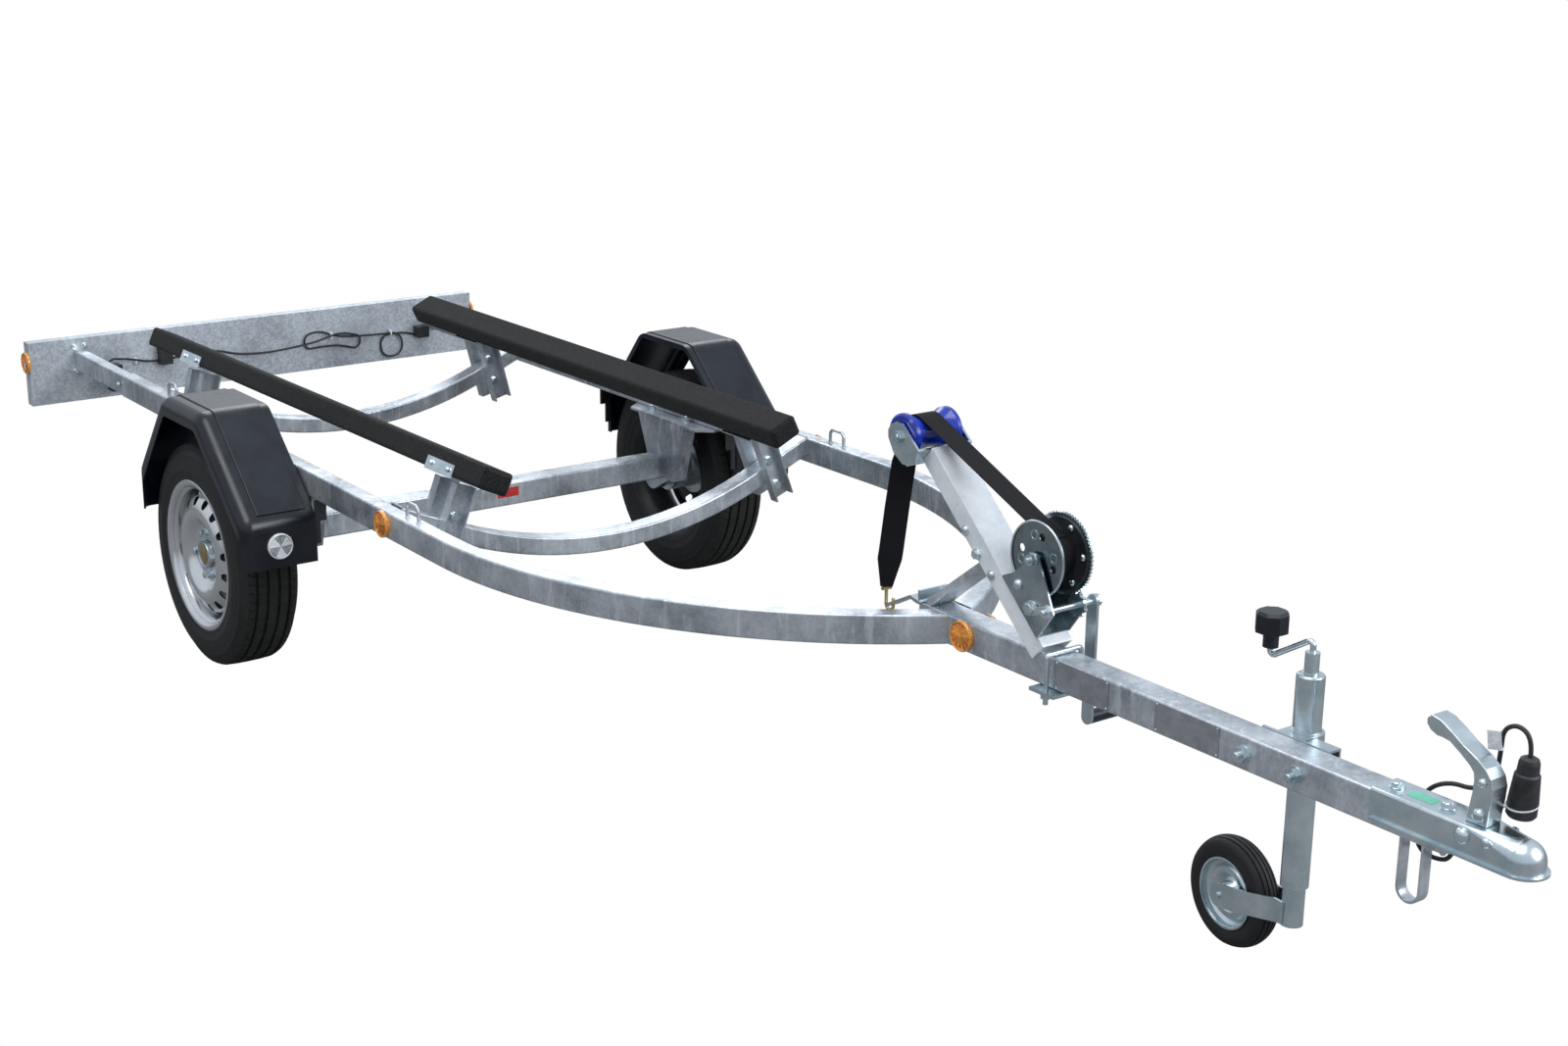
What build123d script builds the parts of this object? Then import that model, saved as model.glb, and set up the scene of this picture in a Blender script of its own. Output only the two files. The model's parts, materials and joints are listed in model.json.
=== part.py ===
from build123d import *
import os
from math import acos, atan2, cos, pi, radians, sin, tan

# Single-axle boat trailer, parked on its jockey wheel.
# Everything is drawn square to the frame: +X runs forward to the coupling, +Y to
# the left, +Z up, with the wheel axle above X = 0.  The last step tips the whole
# trailer nose-down by park_pitch and moves the origin to the middle of its footprint.

# ---- road wheels ----
tyre_r = 272.0
tyre_w = 155.0
bead_r = 166.0
bulge_drop = 5.0
track = 1333.0
rim_flange_r = 181.0
rim_half_w = 67.0
disc_offset = 26.0
hub_r = 46.0
hub_in = 70.0
hub_flange_r = 66.0
hub_flange_t = 12.0
hub_cap_r = 32.0
hub_cap_len = 30.0
stub_room = 1.0
vent_count = 16
vent_ring_r = 127.0
vent_len = 20.0
vent_w = 14.0

# ---- main frame ----
rail_w = 40.0
rail_h = 60.0
rail_top = 524.5
rail_wall = 3.0
rail_rear_x = -885.0
tyre_rail_gap = 15.0
rail_rear_y = track / 2 - tyre_w / 2 - tyre_rail_gap - rail_w / 2
rail_spread = 16.0
rail_bend_x = 950.0
rail_bend_y = rail_rear_y + rail_spread
rail_join_x = 1880.4
rail_join_y = 55.7
rail_join_len = 75.0
drawbar_w = 60.0
drawbar_rear_x = 1834.0
drawbar_front_x = 3070.0
corner_r = 5.0

# ---- cross members ----
arc_w = 50.0
arc_h = 42.0
arc_low_top = 380.0
arc_top_r = 1000.0
arc_end_angle = 23.6
arc_front_x = 678.0
arc_rear_x = -691.0

# ---- axle ----
axle_x = 106.0
axle_z = 333.0
axle_w = 60.0
arm_thick = 30.0
arm_hub_gap = 14.5
axle_half_len = track / 2 - hub_in - arm_hub_gap - arm_thick
arm_r = 36.0
stub_r = 17.0
plate_in = 52.0
plate_y = axle_half_len - plate_in
plate_t = 5.0
bracket_depth = 40.0
saddle_t = 6.0
saddle_x = (-54.0, 312.0)
saddle_corner = 30.0
saddle_w = 78.0
saddle_edge = 2.0

# ---- bunks ----
bunk_w = 76.0
bunk_t = 52.0
bunk_tilt = 25.0
bunk_rear = (-1010.0, 404.0, 581.0)
bunk_front = (838.0, 386.0, 590.0)
post_w = 51.0
post_flange = 26.0
post_t = 4.0
bunk_pad_len = 120.0
bunk_pad_t = 4.0
bunk_pad_side = 26.0

# ---- light board ----
board_x = -1263.0
board_half_w = 695.5
board_low = 377.0
board_high = 557.0
board_t = 2.0
board_flange = 38.0
board_lip = 14.0
lamp_depth = 52.0
lamp_edge = 30.5
lamp_w = 210.0
lamp_z = (405.0, 500.0)

# ---- mudguards ----
guard_out_room = 24.0
guard_w = 180.0
guard_out_y = track / 2 + tyre_w / 2 + guard_out_room
guard_in_y = guard_out_y - guard_w
guard_top_room = 100.0
guard_rear_room = 6.0
guard_front_room = 76.0
guard_top = 2 * tyre_r + guard_top_room
guard_ends = (
    # rear and front: end in X, its lower edge, skirt left there, end of the flat top, slope in degrees
    (-tyre_r - guard_rear_room, 332.0, 26.0, -105.0, 50.0),
    (tyre_r + guard_front_room, 322.0, 16.0, 113.0, 42.3),
)
guard_t = 4.0
guard_skirt = 42.0
guard_lip = 14.0
guard_bend_r = 50.0
guard_opening_bend_r = 24.0
guard_round = 28.0
guard_panel_out = 44.0
guard_panel_in = 18.0
guard_panel_h = 3.0
guard_panel_round = 2.4
guard_panel_low = 448.0
stay_t = 6.0
stay_low = 362.0
stay_step = 415.0
stay_in = (12.0, 28.0)

# ---- winch stand ----
post_angle = 43.0
post_head = (1866.0, 838.0)
post_foot = (2194.0, 545.0)
stand_half_w = 36.0
stand_depth = 43.0
stand_front = 1887.0
strut_high = (2028.0, 664.0)
strut_low_x = 1853.0
strut_t = 11.0
bolt_r = 5.0
bolt_x = 2206.0
bolt_low = 437.0
clamp_plate_half = 32.0
clamp_plate_end = 12.0
clamp_plate_t = 7.0

# ---- bow roller and its bracket ----
roller_x = 1803.0
roller_z = 850.0
roller_len = 116.0
roller_end_r = 43.0
roller_mid_r = 29.0
roller_waist = 46.0
roller_edge = 4.0
roller_pin_r = 7.0
roller_bore_r = 7.6
roller_side_gap = 3.0
ear_t = 5.0
web_high_off = 7.7
web_low_off = 56.6
pin_end = 9.0
pin_nut_r = 12.0
ear_outline = (
    # offset from the roller's axis in X and Z
    (55.0, -13.0),
    (7.0, 27.0),
    (-8.0, 28.0),
    (-22.0, 21.0),
    (-32.0, 8.0),
    (-31.0, -7.0),
    (-15.0, -33.0),
    (12.0, -50.0),
    (23.0, -50.0),
    (50.0, -40.0),
)

# ---- winch, its strap and the strap's hook ----
drum_x = 2158.0
drum_z = 697.0
drum_half = 28.5
drum_cheek_t = 2.5
drum_flange_r = 69.0
drum_cheek_r = 67.0
drum_core_r = 38.0
drum_hub_r = 20.0
flange_hole_count = 4
flange_hole_ring_r = 43.0
flange_hole_r = 7.5
flange_hole_angle = 76.0
gear_r = 74.0
gear_t = 5.0
shaft_r = 6.0
shaft_end = 11.0
pinion_x = 2202.0
pinion_z = 611.0
pinion_r = 20.5
winch_half = 37.0
winch_t = 4.0
winch_base_high = (2080.0, 648.0)
winch_base_low = (2177.0, 555.0)
winch_side_outline = (
    (2108.0, 660.0),
    (2135.0, 683.0),
    (2146.0, 708.0),
    (2166.0, 709.0),
    (2178.0, 688.0),
    (2216.0, 608.0),
)
crank_y = 66.0
crank_t = 6.0
crank_w = 26.0
grip_z = 386.0
grip_r = 13.0
grip_len = 100.0
strap_w = 48.0
strap_t = 2.0
strap_y = -2.0
strap_over_r = 36.4
strap_tail = (
    # place in X, Y, Z, turn of the width from +Y in degrees, width
    (1770.0, -24.0, 790.0, 30.0, 48.0),
    (1760.0, -30.0, 700.0, 50.0, 48.0),
    (1750.0, -34.0, 611.0, 50.0, 48.0),
    (1746.0, -34.0, 590.0, 50.0, 48.0),
    (1734.0, -31.0, 530.0, 50.0, 24.0),
)
hook_plate_t = 5.0
hook_plate_y = (-38.0, -4.0)
hook_plate_end_x = 1846.0
hook_peak = (1814.0, 536.0)
hook_tip = (1741.0, 492.0)
hook_hole_r = 4.6
hook_r = 3.4
hook_x = 1754.0
hook_y = -29.0
hook_back_x = 1732.0
hook_low = 486.0
hook_reach = 26.0
hook_tab_half = 11.0
hook_tab_h = 6.0
lug_half = 34.0
lug_top = 551.0
id_plate_ranges = ((2216.0, 2352.0), (2465.0, 2613.0))
id_plate_z = (467.0, 522.0)
id_plate_t = 0.9

# ---- jockey wheel ----
jockey_x = 2709.0
jockey_y = 72.0
jockey_tube_r = 24.0
jockey_inner_r = 19.5
jockey_inner_top = 505.0
jockey_bore_r = 20.1
jockey_low = 248.0
jockey_high = 625.0
jockey_cap = 40.0
tube_top_round = 5.0
jockey_wheel_r = 99.4
jockey_wheel_w = 48.6
jockey_bead_r = 64.7
jockey_trail = 144.6
jockey_yaw = -6.3
fork_h = 43.0
fork_t = 5.0
fork_wide = 33.0
fork_narrow = 18.0
fork_rise = 25.8
fork_bend_x = 45.0
wheel_pin_r = 6.0
pin_proud = 4.0
clamp_x = (2650.0, 2794.0)
clamp_z = (466.0, 525.0)
clamp_t = 5.7
clamp_collar_r = 30.0
clamp_box_x = 2742.0
clamp_box_y = 58.0
clamp_box_t = 4.0
crank_rod_r = 5.2
crank_hub_r = 12.3
crank_hub_top = 662.0
crank_top = 684.0
knob_x = 2619.0
knob_low = 645.0
knob_cap_low = 672.0
knob_high = 708.0
knob_r = 29.0
knob_stem_r = 13.3
knob_chamfer = 5.0

# ---- coupling ----
coup_rear = 2930.0
coup_bend_x = 3112.0
coup_nose_x = 3190.0
coup_wall = 3.5
coup_low = 478.0
coup_corner = 6.0
coup_nose_corner = 33.0
coup_lip = 6.0
coup_lip_t = 4.0
coup_lip_x = 2934.0
coup_room = 25.0
ball_r = 25.4
socket_z = 499.0
socket_room = 0.8
lever_half = 18.0
lever_outline = (
    # X, height above the coupling head
    (3094.0, 0.0),
    (3098.0, 20.0),
    (3102.0, 47.0),
    (3103.0, 66.0),
    (3101.0, 78.0),
    (3094.0, 86.0),
    (3074.0, 100.0),
    (3054.0, 112.0),
    (3040.0, 114.0),
    (3030.0, 114.0),
    (3018.0, 119.0),
    (3011.0, 126.0),
    (3010.0, 133.0),
    (3013.0, 140.0),
    (3019.0, 143.5),
    (3036.0, 140.0),
    (3056.0, 129.0),
    (3080.0, 114.0),
    (3106.0, 101.0),
    (3122.0, 90.0),
    (3133.0, 77.0),
    (3138.0, 62.0),
    (3137.0, 42.0),
    (3134.0, 20.0),
    (3133.0, 0.0),
)
loop_x = (2975.0, 3022.0)
loop_low = 352.5
loop_t = 5.0
loop_half_w = 11.0

# ---- cables, each route a list of points ----
front_cable_r = 3.7
front_route = (
    (3066.0, 6.0, 470.0),
    (3055.0, 12.0, 442.0),
    (3027.0, 19.0, 429.0),
    (2994.0, 20.0, 430.0),
    (2967.0, 37.0, 446.0),
    (2954.0, 54.0, 472.0),
    (2958.0, 58.0, 502.0),
    (2980.0, 58.0, 527.0),
    (3014.0, 55.0, 543.0),
    (3048.0, 52.0, 546.0),
    (3078.0, 48.0, 560.0),
    (3098.0, 44.0, 588.0),
    (3102.0, 43.0, 628.0),
    (3102.0, 43.0, 663.0),
    (3127.0, 44.0, 677.5),
    (3152.0, 45.0, 663.0),
    (3152.0, 45.0, 634.3),
)
cable_hole = (3064.8, 6.6)
cable_hole_r = 5.4
cable_hole_top = 473.0
plug_profile = (
    # distance down the plug, radius
    (0.0, 9.0),
    (3.0, 14.0),
    (9.0, 16.0),
    (25.0, 17.0),
    (28.0, 19.5),
    (70.0, 23.0),
    (92.0, 23.0),
    (96.0, 20.0),
)
rear_cable_r = 3.0
rear_long_points = (
    # distance ahead of the board, Y, Z
    (4.0, 495.7, 449.0),
    (4.0, 456.0, 459.0),
    (4.5, 381.0, 459.0),
    (6.0, 381.0, 390.0),
    (8.5, 451.0, 390.0),
    (10.5, 451.0, 462.0),
    (10.5, 372.0, 463.0),
    (10.5, 300.0, 466.0),
    (10.5, 232.0, 473.0),
    (10.0, 176.0, 496.0),
    (8.5, 128.0, 486.0),
    (6.0, 130.0, 443.0),
    (4.5, 188.0, 446.0),
    (4.5, 246.0, 444.0),
    (6.0, 304.0, 426.0),
    (9.0, 315.0, 466.5),
    (17.5, 240.0, 486.0),
    (17.5, 168.0, 466.0),
    (12.0, 84.0, 455.0),
    (8.0, 0.0, 449.0),
    (4.0, -84.0, 455.0),
    (4.0, -150.0, 475.0),
    (4.0, -220.0, 470.0),
    (4.0, -287.0, 468.0),
)
rear_short_points = (
    (50.0, -494.0, 440.3),
    (50.0, -500.0, 470.0),
    (34.0, -476.0, 494.0),
    (18.0, -410.0, 482.0),
    (8.0, -362.0, 468.0),
    (5.0, -326.3, 466.0),
)
board_connector = ((0.3, 30.0), (-326.0, -290.5), (456.0, 510.0))
arm_connectors = (
    # side of the board arm, distance ahead of the board, distance in from the arm, Z
    (1, (0.3, 34.0), (4.3, 41.3), (441.0, 474.0)),
    (-1, (22.0, 60.0), (51.3, 85.3), (404.0, 478.0)),
    (-1, (40.0, 60.0), (34.3, 52.3), (424.0, 440.0)),
)

# ---- lashing eyes and reflectors ----
eye_places = (795.0, -561.0)
eye_half = 26.0
eye_h = 35.0
eye_bend_r = 14.0
eye_rod_r = 4.0
reflector_r = 30.0
reflector_t = 8.0
rail_reflector_x = 689.0
bar_reflector_x = 1963.0
end_reflector_z = 499.0
front_reflector_in = 88.0
front_reflector_z = 374.0

# ---- fits and parking ----
gap = 0.3
park_pitch = 1.725

pieces = {}


def block(x, y, z, mode=Mode.ADD):
    """A box given by its ranges, added to the part being built."""
    with Locations(((x[0] + x[1]) / 2, (y[0] + y[1]) / 2, (z[0] + z[1]) / 2)):
        Box(x[1] - x[0], y[1] - y[0], z[1] - z[0], mode=mode)


def rod(radius, y, x, z, mode=Mode.ADD):
    """A cylinder along Y over the range y, centred on x and z."""
    with Locations((x, (y[0] + y[1]) / 2, z)):
        Cylinder(radius, y[1] - y[0], rotation=(90, 0, 0), mode=mode)


def upright(radius, z, x, y, mode=Mode.ADD):
    """A cylinder along Z over the range z, centred on x and y."""
    with Locations((x, y, (z[0] + z[1]) / 2)):
        Cylinder(radius, z[1] - z[0], mode=mode)


def side_plane(y):
    """A plane seen from the right side, with X and Z as its own axes."""
    return Plane(origin=(0, y, 0), x_dir=(1, 0, 0), z_dir=(0, -1, 0))


def side_plate(points, y, mode=Mode.ADD):
    """A flat plate with an outline in X and Z, filling the range y."""
    with BuildSketch(side_plane(y[0])) as outline:
        with BuildLine():
            Polyline(*points, close=True)
        make_face()
    extrude(outline.sketch, amount=-(y[1] - y[0]), mode=mode)


def other_side(left):
    """The same piece on the right side of the trailer."""
    with BuildPart() as right:
        mirror(left.part, about=Plane.XZ)
    return right


def pair(name, left):
    pieces[name + "_left"] = left
    pieces[name + "_right"] = other_side(left)


def both_sides(name, left):
    """One node that holds a piece and its mirror image."""
    with BuildPart() as whole:
        add(left.part)
        mirror(left.part, about=Plane.XZ)
    pieces[name] = whole


rail_low = rail_top - rail_h
board_arm_w = rail_w - 2 * rail_wall - 2 * gap
board_arm_h = rail_h - 2 * rail_wall - 2 * gap
stand_inside = drawbar_w / 2 + gap
stand_wall = stand_half_w - stand_inside
strut_half = stand_inside - gap
rail_slope = (rail_bend_y - rail_rear_y) / (rail_bend_x - rail_rear_x)


def rail_y(x):
    """The middle of the left rail on its straight run."""
    return rail_rear_y + rail_slope * (x - rail_rear_x)


# ---- rails: a straight run that tapers in to the rear, then a bend to the drawbar ----
rail_mid_z = rail_top - rail_h / 2
with BuildPart() as rail:
    with BuildLine() as rail_path:
        run = Line((rail_rear_x, rail_rear_y, rail_mid_z), (rail_bend_x, rail_bend_y, rail_mid_z))
        bend = TangentArc(run @ 1, (rail_join_x, rail_join_y, rail_mid_z), tangent=run % 1)
        Line(bend @ 1, bend @ 1 + (bend % 1) * rail_join_len)
    with BuildSketch(Plane(origin=run @ 0, x_dir=(0, 0, 1), z_dir=run % 0)):
        RectangleRounded(rail_h, rail_w, corner_r)
    sweep(path=rail_path.line)
    split(bisect_by=Plane.XZ.offset(-drawbar_w / 2 - gap), keep=Keep.BOTTOM)
    with BuildSketch(Plane(origin=run @ 0, x_dir=(0, 0, 1), z_dir=run % 0)):
        RectangleRounded(rail_h - 2 * rail_wall, rail_w - 2 * rail_wall, corner_r - rail_wall)
    extrude(amount=260, mode=Mode.SUBTRACT)
both_sides("rails", rail)

with BuildPart() as drawbar:
    with BuildSketch(Plane.YZ.offset(drawbar_rear_x)):
        with Locations((0, rail_top - drawbar_w / 2)):
            RectangleRounded(drawbar_w, drawbar_w, corner_r)
    extrude(amount=drawbar_front_x - drawbar_rear_x)
    upright(cable_hole_r, (rail_low - 1, cable_hole_top), cable_hole[0], cable_hole[1], Mode.SUBTRACT)
pieces["drawbar"] = drawbar

# ---- cross arcs between the rails ----
arc_mid_r = arc_top_r + arc_h / 2
arc_mid_z = arc_low_top + arc_top_r
bend_y = arc_mid_r * sin(radians(arc_end_angle))
bend_z = arc_mid_z - arc_mid_r * cos(radians(arc_end_angle))


def arc_z(y):
    """Middle of the cross arc on its straight outer end."""
    return bend_z + (abs(y) - bend_y) * tan(radians(arc_end_angle))


arcs = []
for x in (arc_front_x, arc_rear_x):
    end_y = rail_y(x - arc_w / 2) - rail_w / 2 - gap
    with BuildPart() as cross_arc:
        with BuildLine() as arc_path:
            Line((x, -end_y - 20, arc_z(end_y + 20)), (x, -bend_y, bend_z))
            ThreePointArc((x, -bend_y, bend_z), (x, 0, arc_mid_z - arc_mid_r), (x, bend_y, bend_z))
            Line((x, bend_y, bend_z), (x, end_y + 20, arc_z(end_y + 20)))
        with BuildSketch(Plane(origin=arc_path.line @ 0, x_dir=(1, 0, 0), z_dir=arc_path.line % 0)):
            RectangleRounded(arc_w, arc_h, corner_r)
        sweep(path=arc_path.line)
        split(bisect_by=Plane.XZ.offset(-end_y), keep=Keep.TOP)
        split(bisect_by=Plane.XZ.offset(end_y), keep=Keep.BOTTOM)
    arcs.append(cross_arc.part)
with BuildPart() as cross_arcs:
    add(arcs)
pieces["cross_arcs"] = cross_arcs

# ---- axle: square tube, pressed brackets, saddles on the rails, swing arms ----
with BuildPart() as axle_tube:
    with BuildSketch(Plane.XZ.offset(-axle_half_len)):
        with Locations((axle_x, axle_z)):
            RectangleRounded(axle_w, axle_w, corner_r)
    extrude(amount=2 * axle_half_len)
pieces["axle_tube"] = axle_tube

bracket_top = rail_low - saddle_t - gap
bracket_outline = (
    (17, bracket_top),
    (231, bracket_top),
    (201, axle_z + 25),
    (185, axle_z - 30),
    (70, axle_z - 30),
    (58, axle_z + 25),
)
with BuildPart() as axle_bracket:
    side_plate(bracket_outline, (plate_y, plate_y + bracket_depth))
    with BuildSketch(side_plane(plate_y + plate_t)):
        with BuildLine():
            Polyline(
                (17 + 2 * plate_t, bracket_top - plate_t),
                (231 - 2 * plate_t, bracket_top - plate_t),
                (201 - plate_t, axle_z + 25),
                (185 - plate_t, axle_z - 31),
                (70 + plate_t, axle_z - 31),
                (58 + plate_t, axle_z + 25),
                close=True,
            )
        make_face()
    extrude(amount=-bracket_depth, mode=Mode.SUBTRACT)
    bore = axle_w / 2 + gap
    block((axle_x - bore, axle_x + bore), (plate_y - 1, plate_y + 50), (axle_z - bore, axle_z + bore), Mode.SUBTRACT)
both_sides("axle_brackets", axle_bracket)

saddle_in_y = plate_y + saddle_edge
with BuildPart() as saddle:
    with BuildSketch(Plane.XY.offset(rail_low - saddle_t)):
        with BuildLine():
            Polyline(
                (saddle_x[0], plate_y + bracket_depth),
                (saddle_x[0] + saddle_corner, saddle_in_y),
                (saddle_x[1] - saddle_corner, saddle_in_y),
                (saddle_x[1], plate_y + bracket_depth),
                (saddle_x[1], saddle_in_y + saddle_w),
                (saddle_x[0], saddle_in_y + saddle_w),
                close=True,
            )
        make_face()
    extrude(amount=saddle_t - gap / 2)
both_sides("axle_saddles", saddle)

with BuildPart() as swing_arm:
    arm_y = (axle_half_len + gap, axle_half_len + arm_thick)
    rod(arm_r + 6, arm_y, axle_x, axle_z)
    rod(arm_r, arm_y, 0, tyre_r)
    slope = atan2(axle_z - tyre_r, axle_x)
    across = (-sin(slope) * arm_r, cos(slope) * arm_r)
    side_plate(
        (
            (across[0], tyre_r + across[1]),
            (axle_x + across[0], axle_z + across[1]),
            (axle_x - across[0], axle_z - across[1]),
            (-across[0], tyre_r - across[1]),
        ),
        arm_y,
    )
    rod(stub_r, (arm_y[1] - 1, track / 2), 0, tyre_r)
both_sides("swing_arms", swing_arm)

# ---- road wheels ----
wheel_y = track / 2
half = tyre_w / 2
bulge_r = (bead_r + tyre_r) / 2 - bulge_drop


def turned(points, plane_y, x=0.0, z=tyre_r):
    """A body turned about an axle along Y, from (radius, offset along Y) points."""
    with BuildSketch(Plane(origin=(x, plane_y, z), x_dir=(1, 0, 0), z_dir=(0, 0, 1))) as profile:
        with BuildLine():
            Polyline(*points, close=True)
        make_face()
    revolve(profile.sketch, axis=Axis((x, plane_y, z), (0, 1, 0)))


with BuildPart() as tyre:
    with BuildSketch(Plane(origin=(0, wheel_y, tyre_r), x_dir=(1, 0, 0), z_dir=(0, 0, 1))):
        with BuildLine():
            Line((bead_r, -half + 12), (bead_r, half - 12))
            ThreePointArc((bead_r, half - 12), (bulge_r, half), (tyre_r - 14, half - 14))
            ThreePointArc((tyre_r - 14, half - 14), (tyre_r - 4.5, half - 20), (tyre_r - 1.5, half - 30))
            ThreePointArc((tyre_r - 1.5, half - 30), (tyre_r, 0), (tyre_r - 1.5, -half + 30))
            ThreePointArc((tyre_r - 1.5, -half + 30), (tyre_r - 4.5, -half + 20), (tyre_r - 14, -half + 14))
            ThreePointArc((tyre_r - 14, -half + 14), (bulge_r, -half), (bead_r, -half + 12))
        make_face()
    revolve(axis=Axis((0, wheel_y, tyre_r), (0, 1, 0)))
pair("tyre", tyre)

with BuildPart() as rim:
    turned(
        (
            (bead_r - gap, -rim_half_w),
            (bead_r - gap, -rim_half_w + 4),
            (150, -rim_half_w + 12),
            (150, 6),
            (158, 22),
            (bead_r - gap, rim_half_w - 4),
            (bead_r - gap, rim_half_w),
            (160, rim_half_w),
            (153, 24),
            (145, 10),
            (112, 34),
            (84, disc_offset + 12),
            (66, disc_offset + 4),
            (33, disc_offset + 4),
            (33, disc_offset),
            (68, disc_offset),
            (86, disc_offset + 7),
            (110, 29),
            (145, 2),
            (146, -rim_half_w + 8),
            (158, -rim_half_w),
        ),
        wheel_y,
    )
    with BuildSketch(side_plane(wheel_y - vent_w)) as vents:
        with Locations((0, tyre_r)):
            with PolarLocations(vent_ring_r, vent_count):
                SlotOverall(vent_len, vent_w, rotation=90)
    extrude(vents.sketch, amount=-4 * vent_w, mode=Mode.SUBTRACT)
pair("rim", rim)

with BuildPart() as hub:
    hub_face = wheel_y + disc_offset
    rod(hub_r, (wheel_y - hub_in, hub_face - gap), 0, tyre_r)
    rod(hub_flange_r, (hub_face - hub_flange_t, hub_face - gap), 0, tyre_r)
    rod(hub_cap_r - gap, (wheel_y, hub_face + hub_cap_len), 0, tyre_r)
    rod(stub_r + stub_room, (wheel_y - 2 * hub_in, wheel_y + 6), 0, tyre_r, Mode.SUBTRACT)
pair("hub", hub)

# ---- bunks on leaning posts ----
run_vec = Vector(*bunk_front) - Vector(*bunk_rear)
bunk_len = run_vec.length
bunk_dir = run_vec.normalized()
tilt = radians(bunk_tilt)


def bunk_plane(along):
    """Cross-section plane of the left bunk; its x axis runs across the top face, outward."""
    spot = Vector(*bunk_rear) + bunk_dir * along
    return Plane(origin=spot, x_dir=(0, cos(tilt), sin(tilt)), z_dir=bunk_dir)


with BuildPart() as bunk:
    with BuildSketch(bunk_plane(0)):
        RectangleRounded(bunk_w, bunk_t, 9)
    extrude(amount=bunk_len)
    ends = bunk.faces().sort_by(Axis.X)
    chamfer([*ends[0].edges(), *ends[-1].edges()], 9)
both_sides("bunks", bunk)

post_table = (
    # place, x of the cross arc, lean from upright, length below the bunk
    ("front", arc_front_x, 21.0, 182.0),
    ("rear", arc_rear_x, 14.0, 194.0),
)
with BuildPart() as bunk_pads:
    for place, x, lean, length in post_table:
        along = (x - 18 - bunk_rear[0]) / bunk_dir.X
        low = -bunk_t / 2 - gap
        out = bunk_w / 2 + gap
        with BuildSketch(bunk_plane(along - bunk_pad_len / 2)):
            with BuildLine():
                Polyline(
                    (-out, low),
                    (out, low),
                    (out, low + bunk_pad_side),
                    (out + bunk_pad_t, low + bunk_pad_side),
                    (out + bunk_pad_t, low - bunk_pad_t),
                    (-out, low - bunk_pad_t),
                    close=True,
                )
            make_face()
        extrude(amount=bunk_pad_len)
both_sides("bunk_pads", bunk_pads)

all_posts = []
for place, x, lean, length in post_table:
    along = (x - bunk_rear[0]) / bunk_dir.X
    middle = Vector(*bunk_rear) + bunk_dir * along
    angle = radians(lean)
    down = Vector(0, sin(angle), -cos(angle))
    under = Vector(0, sin(tilt), -cos(tilt)) * (bunk_t / 2 + bunk_pad_t + 2 * gap)
    drop = post_w / 2 * abs(sin(tilt - angle)) + 1
    top = middle + under + down * drop
    top = Vector(x, top.Y, top.Z)
    with BuildPart() as posts:
        for sense in (1, -1):
            foot_plane = Plane(
                origin=top + Vector(sense * (arc_w / 2 + gap), 0, 0),
                x_dir=(0, cos(angle), sin(angle)),
                z_dir=down,
            )
            with BuildSketch(foot_plane):
                with BuildLine():
                    side = sense
                    w = post_w / 2
                    Polyline(
                        (-w, 0),
                        (w, 0),
                        (w, side * post_flange),
                        (w - post_t, side * post_flange),
                        (w - post_t, side * post_t),
                        (-w + post_t, side * post_t),
                        (-w + post_t, side * post_flange),
                        (-w, side * post_flange),
                        close=True,
                    )
                make_face()
            extrude(amount=length - drop - bunk_pad_t)
    all_posts.append(posts.part)
with BuildPart() as bunk_posts:
    add(all_posts)
both_sides("bunk_posts", bunk_posts)

# ---- light board on two sliding arms ----
with BuildPart() as board:
    block((board_x - board_flange, board_x), (-board_half_w, board_half_w), (board_low, board_high))
    block(
        (board_x - board_flange - 1, board_x - board_t),
        (-board_half_w + board_t, board_half_w - board_t),
        (board_low + board_t, board_high - board_t),
        Mode.SUBTRACT,
    )
    block(
        (board_x - board_flange - 1, board_x - board_lip),
        (-board_half_w + board_t, board_half_w - board_t),
        (board_low - 1, board_low + 10),
        Mode.SUBTRACT,
    )
pieces["light_board"] = board

with BuildPart() as board_arm:
    with BuildSketch(Plane(origin=run @ 0, x_dir=(0, 0, 1), z_dir=run % 0)):
        RectangleRounded(board_arm_h, board_arm_w, 3)
    extrude(amount=240)
    extrude(
        to_extrude=board_arm.faces().sort_by(Axis.X)[0],
        amount=rail_rear_x - board_x + board_arm_w,
    )
    split(bisect_by=Plane.YZ.offset(board_x + gap), keep=Keep.TOP)
both_sides("board_arms", board_arm)

with BuildPart() as lamp:
    lamp_out_y = board_half_w - lamp_edge
    block((board_x - lamp_depth, board_x - board_t - gap), (lamp_out_y - lamp_w, lamp_out_y), lamp_z)
both_sides("rear_lamps", lamp)

# ---- mudguards ----
def guard_profile(inset, end_insets):
    """Outline of the mudguard in X and Z, moved inward by inset, and by end_insets at its rear and front."""
    top = guard_top - inset
    halves = []
    for (end, low, skirt, corner, slope), end_inset, sense in zip(guard_ends, end_insets, (-1, 1)):
        end_x = end - sense * end_inset
        corner_x = corner - sense * inset * tan(radians(slope / 2))
        knee_z = top - abs(end_x - corner_x) * tan(radians(slope))
        halves.append([(end_x, low - guard_round), (end_x, knee_z), (corner_x, top)])
    return halves[0] + halves[1][::-1]


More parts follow.
